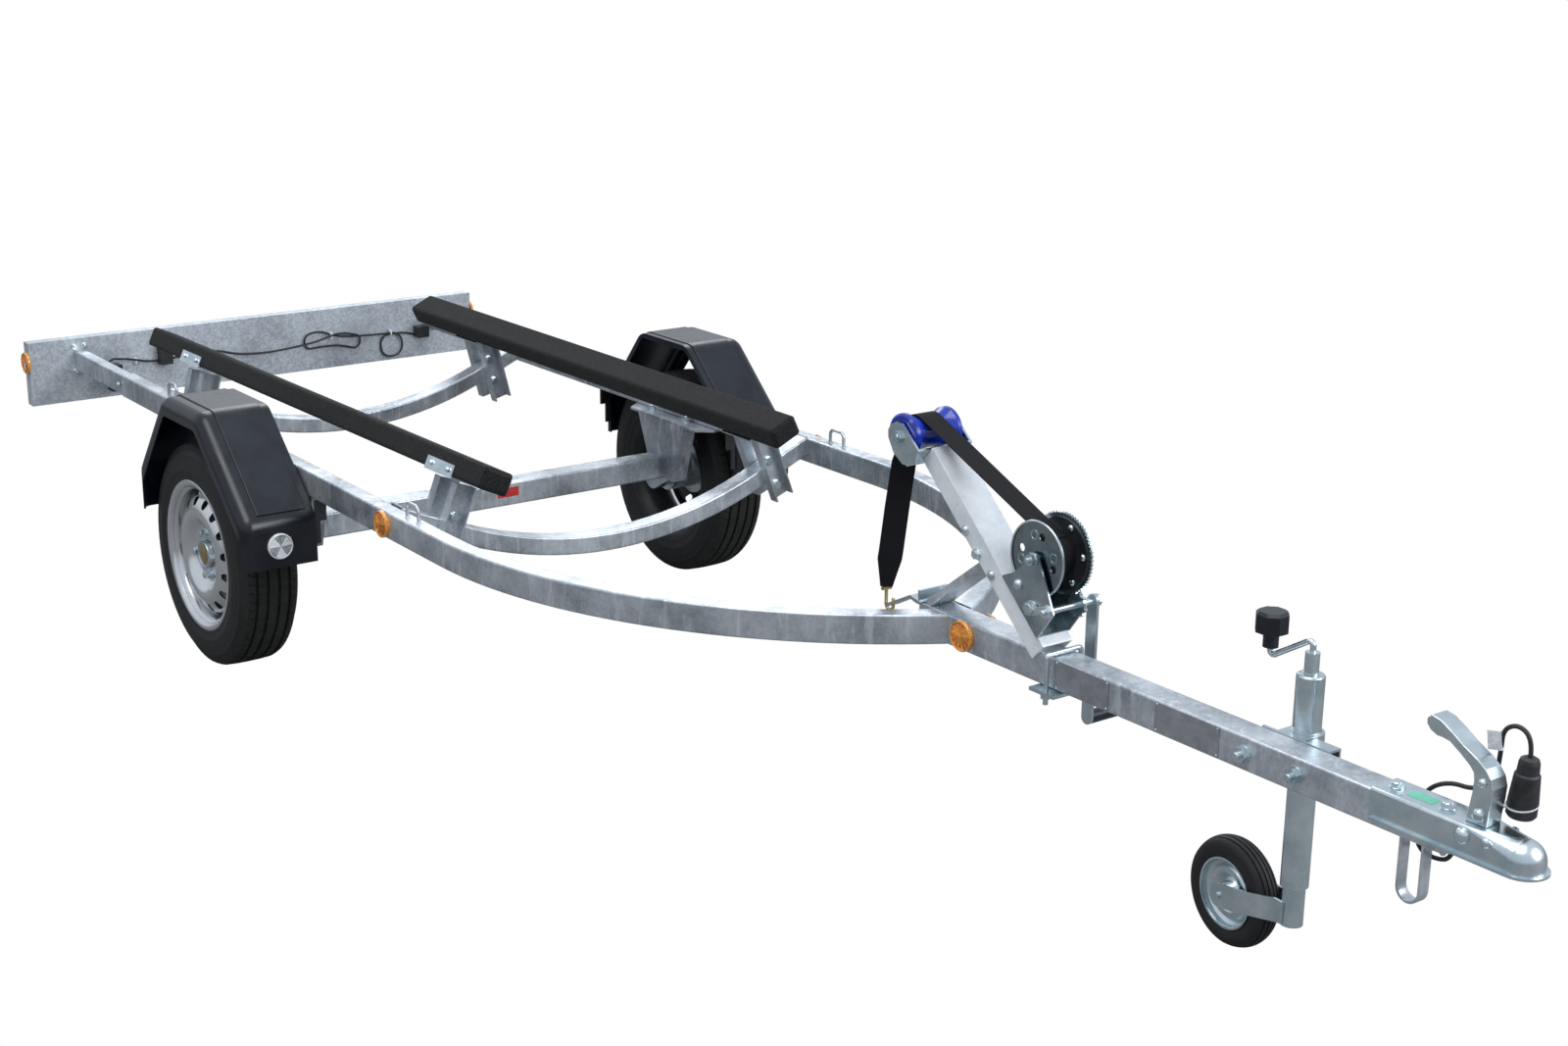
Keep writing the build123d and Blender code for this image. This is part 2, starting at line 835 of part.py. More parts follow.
def guard_solid(y, inset, end_insets, bend, edge_round=0.0, both_edges=False):
    """A block with the mudguard's outline, rounded where it bends, filling the range y."""
    with BuildPart() as solid:
        side_plate(guard_profile(inset, end_insets), y)
        bends = [e for e in solid.edges().filter_by(Axis.Y) if e.center().Z > guard_bends_from]
        fillet(bends, bend)
        if edge_round:
            sides = solid.faces().sort_by(Axis.Y)
            rounded = [sides[0], sides[-1]] if both_edges else [sides[-1]]
            edges = [e for side in rounded for e in side.edges()]
            fillet([e for e in edges if e.center().Z > guard_bends_from], edge_round)
    return solid


guard_bends_from = max(low for end, low, skirt, corner, slope in guard_ends)
guard_outside = guard_solid((guard_in_y, guard_out_y), 0, (0, 0), guard_bend_r, guard_round)
guard_hollow = guard_solid(
    (guard_in_y + guard_t, guard_out_y - guard_t),
    guard_t,
    (guard_t, guard_t),
    guard_bend_r - guard_t,
    guard_round - guard_t,
)
guard_opening = guard_solid(
    (guard_out_y - guard_round, guard_out_y + guard_round),
    guard_skirt,
    [skirt for end, low, skirt, corner, slope in guard_ends],
    guard_opening_bend_r,
)
with BuildPart() as guard_panel:
    raised = guard_solid(
        (guard_in_y + guard_panel_in, guard_out_y - guard_panel_out),
        -guard_panel_h,
        (-guard_panel_h, -guard_panel_h),
        guard_bend_r + guard_panel_h,
        guard_panel_round,
        both_edges=True,
    )
    add(raised.part)
    split(bisect_by=Plane.XY.offset(guard_panel_low), keep=Keep.TOP)
guard_rear_x, guard_front_x = guard_ends[0][0], guard_ends[1][0]
with BuildPart() as guard:
    add(guard_outside.part)
    add(guard_panel.part)
    add([guard_hollow.part, guard_opening.part], mode=Mode.SUBTRACT)
    for end, low, skirt, corner, slope in guard_ends:
        block(
            sorted((0, 2 * end)),
            (guard_in_y - guard_w, guard_out_y + guard_w),
            (low - 2 * guard_round, low),
            Mode.SUBTRACT,
        )
    side_plate(
        guard_profile(guard_lip, (guard_lip, guard_lip)),
        (guard_in_y - guard_lip, guard_in_y + guard_lip),
        Mode.SUBTRACT,
    )
both_sides("mudguards", guard)

with BuildPart() as guard_stay:
    for x in (guard_front_x - guard_t - stay_t, guard_rear_x + guard_t):
        for width, low in zip(stay_in, (stay_low, stay_step)):
            block((x, x + stay_t), (guard_in_y - width, guard_in_y - gap), (low, rail_low - gap))
both_sides("mudguard_stays", guard_stay)

# ---- winch stand: channel post leaning back, with a strut down to the drawbar ----
post_lean = radians(post_angle)
along_post = (cos(post_lean), -sin(post_lean))
off_front = (sin(post_lean), cos(post_lean))


def down_post(spot):
    """Distance of a spot in X and Z down the post's length."""
    return spot[0] * along_post[0] + spot[1] * along_post[1]


def on_post(along, out):
    """X and Z of a spot on the post: distance down its length and out of its front face."""
    off = stand_front + out
    return (
        along * along_post[0] + off * off_front[0],
        along * along_post[1] + off * off_front[1],
    )


foot_along = down_post(post_foot)
head_along = down_post(post_head)
with BuildPart() as winch_post:
    side_plate(
        (
            on_post(head_along, 0),
            on_post(foot_along, 0),
            on_post(foot_along, -stand_depth),
            on_post(head_along, -stand_depth),
        ),
        (-stand_half_w, stand_half_w),
    )
    side_plate(
        (
            on_post(head_along - 1, -stand_wall),
            on_post(foot_along + 1, -stand_wall),
            on_post(foot_along + 1, -stand_depth - 1),
            on_post(head_along - 1, -stand_depth - 1),
        ),
        (-stand_inside, stand_inside),
        Mode.SUBTRACT,
    )
    block(
        (post_foot[0] - 200, post_foot[0] + 100),
        (-stand_inside, stand_inside),
        (rail_low, rail_top + gap),
        Mode.SUBTRACT,
    )
pieces["winch_post"] = winch_post

with BuildPart() as strut:
    side_plate(
        (
            (strut_low_x, rail_top + gap),
            (strut_low_x + strut_t, rail_top + gap),
            (strut_high[0] + 4, strut_high[1] - 5),
            (strut_high[0] - 2, strut_high[1] + 4),
            (strut_low_x, rail_top + strut_t),
        ),
        (-strut_half, strut_half),
    )
pieces["winch_strut"] = strut

# ---- bow roller in one bent sheet: a web on the post's head and two ears ----
roller_half = roller_len / 2
ear_in = roller_half + roller_side_gap
ear_out = ear_in + ear_t
web_back = head_along - gap
with BuildPart() as roller_bracket:
    side_plate(
        (
            on_post(web_back, -web_low_off),
            on_post(web_back, -web_high_off),
            on_post(web_back - ear_t, -web_high_off),
            on_post(web_back - ear_t, -web_low_off),
        ),
        (-ear_out, ear_out),
    )
    for y in ((ear_in, ear_out), (-ear_out, -ear_in)):
        side_plate([(roller_x + dx, roller_z + dz) for dx, dz in ear_outline], y)
    rod(roller_pin_r, (-ear_out - pin_end, ear_out + pin_end), roller_x, roller_z)
    for y in ((ear_out, ear_out + pin_end - 2), (-ear_out - pin_end + 2, -ear_out)):
        with BuildSketch(side_plane(y[0])) as nut:
            with Locations((roller_x, roller_z)):
                RegularPolygon(pin_nut_r, 6)
        extrude(nut.sketch, amount=-(y[1] - y[0]))
pieces["roller_bracket"] = roller_bracket

with BuildPart() as bow_roller:
    with BuildSketch(Plane(origin=(roller_x, 0, roller_z), x_dir=(1, 0, 0), z_dir=(0, 0, 1))):
        with BuildLine():
            Line((roller_bore_r, -roller_half), (roller_end_r - roller_edge, -roller_half))
            Line((roller_end_r - roller_edge, -roller_half), (roller_end_r, -roller_half + roller_edge))
            Line((roller_end_r, -roller_half + roller_edge), (roller_end_r, -roller_waist))
            ThreePointArc(
                (roller_end_r, -roller_waist), (roller_mid_r, 0), (roller_end_r, roller_waist)
            )
            Line((roller_end_r, roller_waist), (roller_end_r, roller_half - roller_edge))
            Line((roller_end_r, roller_half - roller_edge), (roller_end_r - roller_edge, roller_half))
            Line((roller_end_r - roller_edge, roller_half), (roller_bore_r, roller_half))
            Line((roller_bore_r, roller_half), (roller_bore_r, -roller_half))
        make_face()
    revolve(axis=Axis((roller_x, 0, roller_z), (0, 1, 0)))
pieces["bow_roller"] = bow_roller

# ---- U-bolt and plate that clamp the post's foot to the drawbar ----
bolt_y = stand_half_w + bolt_r + gap
bolt_bar_z = rail_top + bolt_r + 1
with BuildPart() as u_bolt:
    with BuildLine() as bolt_path:
        FilletPolyline(
            (bolt_x, -bolt_y, bolt_low),
            (bolt_x, -bolt_y, bolt_bar_z),
            (bolt_x, bolt_y, bolt_bar_z),
            (bolt_x, bolt_y, bolt_low),
            radius=bolt_r * 1.6,
        )
    with BuildSketch(Plane(origin=bolt_path.line @ 0, z_dir=bolt_path.line % 0)):
        Circle(bolt_r)
    sweep(path=bolt_path.line)

with BuildPart() as clamp_plate:
    block(
        (bolt_x - clamp_plate_half, bolt_x + clamp_plate_half),
        (-bolt_y - clamp_plate_end, bolt_y + clamp_plate_end),
        (rail_low - clamp_plate_t, rail_low - gap),
    )
    for side in (1, -1):
        upright(bolt_r + gap, (bolt_low, rail_top), bolt_x, side * bolt_y, Mode.SUBTRACT)
with BuildPart() as stand_clamp:
    add([u_bolt.part, clamp_plate.part])
pieces["stand_clamp"] = stand_clamp

# ---- bent plate that the strap hooks on, and the lug on the drawbar's rear end ----
plate_top = rail_top + gap + hook_plate_t
with BuildPart() as hook_plate:
    side_plate(
        (
            (hook_plate_end_x, rail_top + gap),
            (drawbar_rear_x - 1, rail_top + gap),
            (hook_peak[0] - 2, hook_peak[1] - hook_plate_t - 1),
            (hook_tip[0], hook_tip[1]),
            (hook_tip[0] - 3, hook_tip[1] + hook_plate_t),
            hook_peak,
            (hook_plate_end_x, plate_top),
        ),
        hook_plate_y,
    )
    block((drawbar_rear_x, drawbar_rear_x + hook_plate_t), (-lug_half, lug_half), (rail_top + gap, lug_top))
    upright(hook_hole_r, (hook_tip[1] - 20, hook_peak[1]), hook_x, hook_y, Mode.SUBTRACT)
pieces["hook_plate"] = hook_plate

# ---- strap: a wound roll, a run over the bow roller, and a tail down to its hook ----
strap_roll_y = (-drum_half + gap, drum_half - drum_cheek_t - gap)
roll_out_r = drum_core_r
run_r = roll_out_r + gap + strap_t / 2
over_r = strap_over_r
span = Vector(roller_x - drum_x, 0, roller_z - drum_z)
span_turn = atan2(span.Z, span.X)
run_angle = span_turn - acos((run_r - over_r) / span.length)


def strap_cut(spot, across, heading, width):
    """Cross-section of the strap at a spot, from its width direction and its heading."""
    with BuildSketch(Plane(origin=spot, x_dir=across, z_dir=heading)) as cut:
        Rectangle(width, strap_t)
    return cut.sketch


def around(centre_x, centre_z, radius, angle):
    """A spot on a circle about a point, at an angle up from +X."""
    return Vector(centre_x + radius * cos(angle), strap_y, centre_z + radius * sin(angle))


run_start = around(drum_x, drum_z, run_r, run_angle)
run_end = around(roller_x, roller_z, over_r, run_angle)
run_off = Vector(cos(run_angle), 0, sin(run_angle)) * (strap_t / 2)
arc_middle = (run_angle + pi) / 2
skins = {}
for place, off in (("inner", -1), ("outer", 1)):
    skins[place] = (
        run_start + run_off * off,
        run_end + run_off * off,
        around(roller_x, roller_z, over_r + off * strap_t / 2, arc_middle),
        around(roller_x, roller_z, over_r + off * strap_t / 2, pi),
    )
tail_cuts = [strap_cut(around(roller_x, roller_z, over_r, pi), (0, 1, 0), (0, 0, -1), strap_w)]
for x, y, z, turn, width in strap_tail:
    tail_cuts.append(
        strap_cut((x, y, z), (sin(radians(turn)), cos(radians(turn)), 0), (0, 0, -1), width)
    )
with BuildPart() as strap_band:
    with BuildSketch(side_plane(strap_y - strap_w / 2)):
        with BuildLine():
            inner = [(spot.X, spot.Z) for spot in skins["inner"]]
            outer = [(spot.X, spot.Z) for spot in skins["outer"]]
            Line(inner[0], inner[1])
            ThreePointArc(inner[1], inner[2], inner[3])
            Line(inner[3], outer[3])
            ThreePointArc(outer[3], outer[2], outer[1])
            Line(outer[1], outer[0])
            Line(outer[0], inner[0])
        make_face()
    extrude(amount=-strap_w)
    for upper_cut, lower_cut in zip(tail_cuts, tail_cuts[1:]):
        loft([upper_cut, lower_cut], ruled=True)
with BuildPart() as strap_roll:
    rod(roll_out_r, strap_roll_y, drum_x, drum_z)
    rod(drum_hub_r + gap, strap_roll_y, drum_x, drum_z, Mode.SUBTRACT)
with BuildPart() as strap:
    add([strap_band.part, strap_roll.part])
pieces["strap"] = strap

tail_end_z = strap_tail[-1][2]
with BuildPart() as strap_hook:
    with BuildLine() as hook_path:
        FilletPolyline(
            (hook_back_x, hook_y, tail_end_z - gap),
            (hook_back_x, hook_y, hook_low),
            (hook_x, hook_y, hook_low),
            (hook_x, hook_y, hook_low + hook_reach),
            radius=(hook_x - hook_back_x) * 0.45,
        )
    with BuildSketch(Plane(origin=hook_path.line @ 0, z_dir=hook_path.line % 0)):
        Circle(hook_r)
    sweep(path=hook_path.line)
    block(
        (hook_back_x - hook_r, hook_back_x + hook_r),
        (hook_y - hook_tab_half, hook_y + hook_tab_half),
        (tail_end_z - hook_tab_h, tail_end_z - gap),
    )
pieces["strap_hook"] = strap_hook

# ---- winch ----
frame_out = winch_half + winch_t
base_top = on_post(down_post(winch_base_high), gap)
base_low = on_post(down_post(winch_base_low), gap)
with BuildPart() as winch_frame:
    for y in ((-frame_out, -winch_half), (winch_half, frame_out)):
        side_plate((base_top, *winch_side_outline, base_low), y)
    side_plate(
        (
            base_top,
            base_low,
            on_post(down_post(winch_base_low), gap + winch_t),
            on_post(down_post(winch_base_high), gap + winch_t),
        ),
        (-frame_out, frame_out),
    )
    for x, z in ((drum_x, drum_z), (pinion_x, pinion_z)):
        rod(shaft_r + gap, (-2 * frame_out, 2 * frame_out), x, z, Mode.SUBTRACT)
pieces["winch_frame"] = winch_frame

with BuildPart() as winch_drum:
    rod(drum_flange_r, (-drum_half - drum_cheek_t, -drum_half), drum_x, drum_z)
    with BuildSketch(side_plane(-drum_half - 2 * drum_cheek_t)) as flange_holes:
        with Locations((drum_x, drum_z)):
            with PolarLocations(flange_hole_ring_r, flange_hole_count, start_angle=flange_hole_angle):
                Circle(flange_hole_r)
    extrude(flange_holes.sketch, amount=-3 * drum_cheek_t, mode=Mode.SUBTRACT)
    rod(drum_hub_r, (-drum_half, drum_half), drum_x, drum_z)
    rod(gear_r, (drum_half, drum_half + gear_t), drum_x, drum_z)
    rod(shaft_r + gap, (-2 * frame_out, 2 * frame_out), drum_x, drum_z, Mode.SUBTRACT)
pieces["winch_drum"] = winch_drum

with BuildPart() as drum_cheek:
    rod(drum_cheek_r, (drum_half - drum_cheek_t, drum_half - gap), drum_x, drum_z)
    rod(drum_hub_r + gap, (0, 2 * drum_half), drum_x, drum_z, Mode.SUBTRACT)
pieces["drum_cheek"] = drum_cheek

with BuildPart() as winch_shaft:
    rod(shaft_r, (-frame_out - shaft_end, frame_out + shaft_end), drum_x, drum_z)
    rod(shaft_r, (-frame_out - shaft_end, crank_y - gap), pinion_x, pinion_z)
    rod(pinion_r, (drum_half - 1, drum_half + gear_t + 1), pinion_x, pinion_z)
pieces["winch_shafts"] = winch_shaft

crank_half = crank_w / 2
with BuildPart() as winch_crank:
    crank_range = (crank_y, crank_y + crank_t)
    block((pinion_x - crank_half, pinion_x + crank_half), crank_range, (grip_z, pinion_z))
    rod(crank_half, crank_range, pinion_x, pinion_z)
    rod(crank_half, crank_range, pinion_x, grip_z)
pieces["winch_crank"] = winch_crank

with BuildPart() as crank_grip:
    rod(grip_r, (crank_y + crank_t + gap, crank_y + crank_t + grip_len), pinion_x, grip_z)
    fillet(crank_grip.edges().sort_by(Axis.Y)[-1], grip_r / 2)
pieces["crank_grip"] = crank_grip

# ---- identity plates, blank ----
with BuildPart() as id_plates:
    for x0, x1 in id_plate_ranges:
        block((x0, x1), (-drawbar_w / 2 - id_plate_t - gap, -drawbar_w / 2 - gap), id_plate_z)
pieces["id_plates"] = id_plates

# ---- jockey wheel ----
clamp_back_y = drawbar_w / 2 + gap + clamp_t
with BuildPart() as jockey_clamp:
    block(clamp_x, (drawbar_w / 2 + gap, clamp_back_y), clamp_z)
    block(
        (jockey_x - clamp_collar_r, jockey_x + clamp_collar_r),
        (clamp_back_y - 1, jockey_y),
        (clamp_z[0] + 4, clamp_z[1]),
    )
    upright(clamp_collar_r, (clamp_z[0] + 4, clamp_z[1]), jockey_x, jockey_y)
    upright(jockey_tube_r + gap, (clamp_z[0] - 1, clamp_z[1] + 1), jockey_x, jockey_y, Mode.SUBTRACT)
    block((clamp_box_x, clamp_x[1]), (clamp_back_y - 1, clamp_box_y), clamp_z)
    block(
        (clamp_box_x + clamp_box_t, clamp_x[1] + 1),
        (clamp_back_y, clamp_box_y - clamp_box_t),
        (clamp_z[0] + clamp_box_t, clamp_z[1] - clamp_box_t),
        Mode.SUBTRACT,
    )
pieces["jockey_clamp"] = jockey_clamp

with BuildPart() as jockey_outer:
    upright(jockey_tube_r, (jockey_low, jockey_high), jockey_x, jockey_y)
    upright(jockey_bore_r, (jockey_low - 1, jockey_high - jockey_cap), jockey_x, jockey_y, Mode.SUBTRACT)
    fillet(jockey_outer.edges().sort_by(Axis.Z)[-1], tube_top_round)
pieces["jockey_outer"] = jockey_outer

with BuildPart() as jockey_crank:
    with BuildLine() as crank_path:
        FilletPolyline(
            (jockey_x, jockey_y, crank_hub_top - 10),
            (jockey_x, jockey_y, crank_top),
            (knob_x, jockey_y, knob_low - 17),
            (knob_x, jockey_y, knob_low),
            radius=7,
        )
    with BuildSketch(Plane(origin=crank_path.line @ 0, z_dir=crank_path.line % 0)):
        Circle(crank_rod_r)
    sweep(path=crank_path.line)
    upright(crank_hub_r, (jockey_high + gap, crank_hub_top), jockey_x, jockey_y)
pieces["jockey_crank"] = jockey_crank

with BuildPart() as jockey_knob:
    upright(knob_stem_r, (knob_low + gap, knob_cap_low), knob_x, jockey_y)
    with BuildSketch(Plane.XY.offset(knob_cap_low)):
        with Locations((knob_x, jockey_y)):
            RegularPolygon(knob_r, 8, rotation=22.5)
    extrude(amount=knob_high - knob_cap_low)
    chamfer(jockey_knob.edges().group_by(Axis.Z)[-1], knob_chamfer)
pieces["jockey_knob"] = jockey_knob

yaw = radians(jockey_yaw)
nose_down = radians(park_pitch)
jw_x = jockey_x - jockey_trail * cos(yaw)
jw_y = jockey_y - jockey_trail * sin(yaw)
jw_tip = jockey_wheel_w / 2 * abs(sin(yaw) * sin(nose_down))
jw_z = tyre_r + (jockey_wheel_r + jw_tip - tyre_r + jw_x * sin(nose_down)) / cos(nose_down)
wheel_frame = Plane(origin=(jw_x, jw_y, jw_z), x_dir=(cos(yaw), sin(yaw), 0), z_dir=(0, 0, 1))
wheel_side = Plane(
    origin=(jw_x, jw_y, jw_z), x_dir=(cos(yaw), sin(yaw), 0), z_dir=(sin(yaw), -cos(yaw), 0)
)
axle_axis = Axis((jw_x, jw_y, jw_z), (-sin(yaw), cos(yaw), 0))

with BuildPart() as jockey_inner:
    upright(jockey_inner_r, (jw_z, jockey_inner_top), jockey_x, jockey_y)
pieces["jockey_inner"] = jockey_inner

with BuildPart() as fork_arms:
    for side in (1, -1):
        with BuildSketch(wheel_frame.offset(-fork_h)):
            with BuildLine():
                Polyline(
                    (-fork_h / 2, side * fork_wide),
                    (fork_bend_x, side * fork_wide),
                    (jockey_trail - jockey_inner_r, side * fork_narrow),
                    (jockey_trail, side * fork_narrow),
                    (jockey_trail, side * (fork_narrow + fork_t)),
                    (jockey_trail - jockey_inner_r, side * (fork_narrow + fork_t)),
                    (fork_bend_x, side * (fork_wide + fork_t)),
                    (-fork_h / 2, side * (fork_wide + fork_t)),
                    close=True,
                )
            make_face()
        extrude(amount=2 * fork_h)
    with BuildSketch(wheel_side.offset(2 * fork_wide)):
        Circle(fork_h / 2)
        with BuildLine():
            Polyline(
                (0, fork_h / 2),
                (jockey_trail + 1, fork_rise + fork_h / 2),
                (jockey_trail + 1, fork_rise - fork_h / 2),
                (0, -fork_h / 2),
                close=True,
            )
        make_face()
    extrude(amount=-4 * fork_wide, mode=Mode.INTERSECT)
    upright(jockey_inner_r + gap, (jw_z - fork_h, jw_z + 2 * fork_h), jockey_x, jockey_y, Mode.SUBTRACT)
with BuildPart() as wheel_pin:
    with BuildSketch(wheel_side):
        Circle(wheel_pin_r)
    extrude(amount=fork_wide + fork_t + pin_proud, both=True)
with BuildPart() as jockey_fork:
    add([fork_arms.part, wheel_pin.part])
pieces["jockey_fork"] = jockey_fork


def turned_wheel(points):
    """A body turned about the jockey wheel's axle, from (radius, offset) points."""
    with BuildSketch(wheel_frame) as profile:
        with BuildLine():
            Polyline(*points, close=True)
        make_face()
    revolve(profile.sketch, axis=axle_axis)


jw_half = jockey_wheel_w / 2
with BuildPart() as jockey_tyre:
    with BuildSketch(wheel_frame):
        with BuildLine():
            Line((jockey_bead_r, -jw_half + 4), (jockey_bead_r, jw_half - 4))
            ThreePointArc(
                (jockey_bead_r, jw_half - 4), (81, jw_half), (jockey_wheel_r - 6, jw_half - 5)
            )
            ThreePointArc(
                (jockey_wheel_r - 6, jw_half - 5), (jockey_wheel_r, 0), (jockey_wheel_r - 6, -jw_half + 5)
            )
            ThreePointArc(
                (jockey_wheel_r - 6, -jw_half + 5), (81, -jw_half), (jockey_bead_r, -jw_half + 4)
            )
        make_face()
    revolve(axis=axle_axis)
pieces["jockey_tyre"] = jockey_tyre

rim_half_outline = (
    # radius, offset from the wheel's middle
    (wheel_pin_r + 0.6, 28.0),
    (15.0, 28.0),
    (19.0, 22.0),
    (26.0, 10.0),
    (36.0, 15.0),
    (46.0, 15.0),
    (53.0, 8.0),
    (59.0, 12.0),
    (61.0, 23.6),
    (jockey_bead_r - gap, 23.6),
)
with BuildPart() as jockey_rim:
    turned_wheel((*[(r, -off) for r, off in rim_half_outline], *reversed(rim_half_outline)))
pieces["jockey_rim"] = jockey_rim

# ---- coupling head: a channel over the drawbar that closes into a round nose ----
coup_half = drawbar_w / 2 + gap + coup_wall
coup_top = rail_top + gap + coup_wall


def nose_cut(x, corner):
    """Cross-section of the coupling head at x, with its top corners rounded."""
    low, high, edge = coup_low, coup_top, coup_half
    lean_in = corner * (1 - cos(pi / 4))
    with BuildSketch(Plane(origin=(x, 0, 0), x_dir=(0, 1, 0), z_dir=(1, 0, 0))) as cut:
        with BuildLine():
            Line((-edge, low), (edge, low))
            Line((edge, low), (edge, high - corner))
            ThreePointArc(
                (edge, high - corner), (edge - lean_in, high - lean_in), (edge - corner, high)
            )
            Line((edge - corner, high), (-edge + corner, high))
            ThreePointArc(
                (-edge + corner, high), (-edge + lean_in, high - lean_in), (-edge, high - corner)
            )
            Line((-edge, high - corner), (-edge, low))
        make_face()
    return cut.sketch


with BuildPart() as coupling_nose:
    add([nose_cut(coup_bend_x, coup_corner), nose_cut(coup_nose_x, coup_nose_corner)])
    loft(ruled=True)
with BuildPart() as coupling:
    extrude(nose_cut(coup_rear, coup_corner), amount=coup_bend_x - coup_rear)
    add(coupling_nose.part)
    upright(coup_half, (coup_low, coup_top - coup_half), coup_nose_x, 0)
    with Locations((coup_nose_x, 0, coup_top - coup_half)):
        Sphere(coup_half)
    block((coup_lip_x, coup_nose_x), (-coup_half - coup_lip, coup_half + coup_lip), (coup_low, coup_low + coup_lip_t))
    upright(coup_half + coup_lip, (coup_low, coup_low + coup_lip_t), coup_nose_x, 0)
    block(
        (coup_rear - 1, drawbar_front_x + coup_room),
        (-drawbar_w / 2 - gap, drawbar_w / 2 + gap),
        (coup_low - 2 * coup_half, rail_top + gap),
        Mode.SUBTRACT,
    )
    block(
        (coup_rear - 1, coup_nose_x + 2 * coup_half),
        (-2 * coup_half, 2 * coup_half),
        (coup_low - 2 * coup_half, coup_low),
        Mode.SUBTRACT,
    )
    upright(ball_r, (coup_low - 1, socket_z + 1), coup_nose_x, 0, Mode.SUBTRACT)
    with Locations((coup_nose_x, 0, socket_z)):
        Sphere(ball_r + socket_room, mode=Mode.SUBTRACT)
pieces["coupling_head"] = coupling

with BuildPart() as lever:
    side_plate([(x, coup_top + gap + above) for x, above in lever_outline], (-lever_half, lever_half))
pieces["coupling_lever"] = lever

loop_top = rail_low - gap
loop_mid = (loop_x[0] + loop_x[1]) / 2
loop_r = (loop_x[1] - loop_x[0]) / 2
with BuildPart() as safety_loop:
    with BuildSketch(side_plane(-loop_half_w)):
        with BuildLine():
            Polyline((loop_x[0], loop_top), (loop_x[0], loop_low + loop_r))
            ThreePointArc(
                (loop_x[0], loop_low + loop_r), (loop_mid, loop_low), (loop_x[1], loop_low + loop_r)
            )
            Polyline(
                (loop_x[1], loop_low + loop_r),
                (loop_x[1], loop_top),
                (loop_x[1] - loop_t, loop_top),
                (loop_x[1] - loop_t, loop_low + loop_r),
            )
            ThreePointArc(
                (loop_x[1] - loop_t, loop_low + loop_r),
                (loop_mid, loop_low + loop_t),
                (loop_x[0] + loop_t, loop_low + loop_r),
            )
            Polyline(
                (loop_x[0] + loop_t, loop_low + loop_r),
                (loop_x[0] + loop_t, loop_top),
                (loop_x[0], loop_top),
            )
        make_face()
    extrude(amount=-2 * loop_half_w)
pieces["safety_loop"] = safety_loop


# ---- cables: tubes of straight runs and arcs ----
def cable_radii(route):
    """The largest arc at each corner that leaves a tenth of the shorter run straight."""
    radii = []
    for before, corner, after in zip(route, route[1:], route[2:]):
        leg_in = Vector(*corner) - Vector(*before)
        leg_out = Vector(*after) - Vector(*corner)
        half_turn = radians(leg_in.get_angle(leg_out)) / 2
        radii.append(0.45 * min(leg_in.length, leg_out.length) / tan(half_turn))
    return radii


def cable(name, route, radius):
    """A tube along a route, in a node of its own."""
    radii = cable_radii(route)
    with BuildPart() as tube:
        with BuildLine() as path:
            FilletPolyline(*route, radius=radii)
        with BuildSketch(Plane(origin=path.line @ 0, z_dir=path.line % 0)):
            Circle(radius)
        sweep(path=path.line)
    length = path.wires()[0].length
    share = tube.part.volume / (pi * radius**2 * length)
    print(name, "length", round(length, 1), "volume share", round(share, 4))
    print(name, "radii", [round(r, 1) for r in radii])
    pieces[name] = tube


cable("front_cable", front_route, front_cable_r)
for name, points in (("rear_cable_long", rear_long_points), ("rear_cable_short", rear_short_points)):
    cable(name, [(board_x + off, y, z) for off, y, z in points], rear_cable_r)

plug_tip = Vector(*front_route[-1])
plug_down = Vector(-0.06, 0, -1).normalized()
with BuildPart() as plug:
    for (start, start_r), (end, end_r) in zip(plug_profile, plug_profile[1:]):
        with BuildSketch(
            Plane(origin=plug_tip + plug_down * (gap + start), x_dir=(0, 1, 0), z_dir=plug_down)
        ) as near_ring:
            Circle(start_r)
        with BuildSketch(
            Plane(origin=plug_tip + plug_down * (gap + end), x_dir=(0, 1, 0), z_dir=plug_down)
        ) as far_ring:
            Circle(end_r)
        loft([near_ring.sketch, far_ring.sketch], ruled=True)
pieces["plug"] = plug

board_arm_in_y = rail_rear_y - board_arm_w / 2
with BuildPart() as rear_connectors:
    block([board_x + x for x in board_connector[0]], *board_connector[1:])
    for side, ahead, inward, z in arm_connectors:
        block([board_x + x for x in ahead], sorted(side * (board_arm_in_y - y) for y in inward), z)
pieces["rear_connectors"] = rear_connectors

# ---- lashing eyes on the rails ----
with BuildPart() as eyes:
    for x in eye_places:
        y = rail_y(x)
        with BuildLine() as eye_path:
            FilletPolyline(
                (x - eye_half, y, rail_top - 1),
                (x - eye_half, y, rail_top + eye_h),
                (x + eye_half, y, rail_top + eye_h),
                (x + eye_half, y, rail_top - 1),
                radius=eye_bend_r,
            )
        with BuildSketch(Plane(origin=eye_path.line @ 0, z_dir=eye_path.line % 0)):
            Circle(eye_rod_r)
        sweep(path=eye_path.line)
    split(bisect_by=Plane.XY.offset(rail_top), keep=Keep.TOP)
both_sides("lashing_eyes", eyes)

# ---- reflectors ----
rail_out_y = rail_y(rail_reflector_x) + rail_w / 2 + gap
bar_out_y = drawbar_w / 2 + gap
end_out_y = board_half_w + gap
with BuildPart() as side_reflectors:
    rod(reflector_r, (rail_out_y, rail_out_y + reflector_t), rail_reflector_x, rail_mid_z)
    rod(reflector_r, (bar_out_y, bar_out_y + reflector_t), bar_reflector_x, rail_mid_z)
    rod(reflector_r, (end_out_y, end_out_y + reflector_t), board_x - board_flange / 2, end_reflector_z)
both_sides("side_reflectors", side_reflectors)

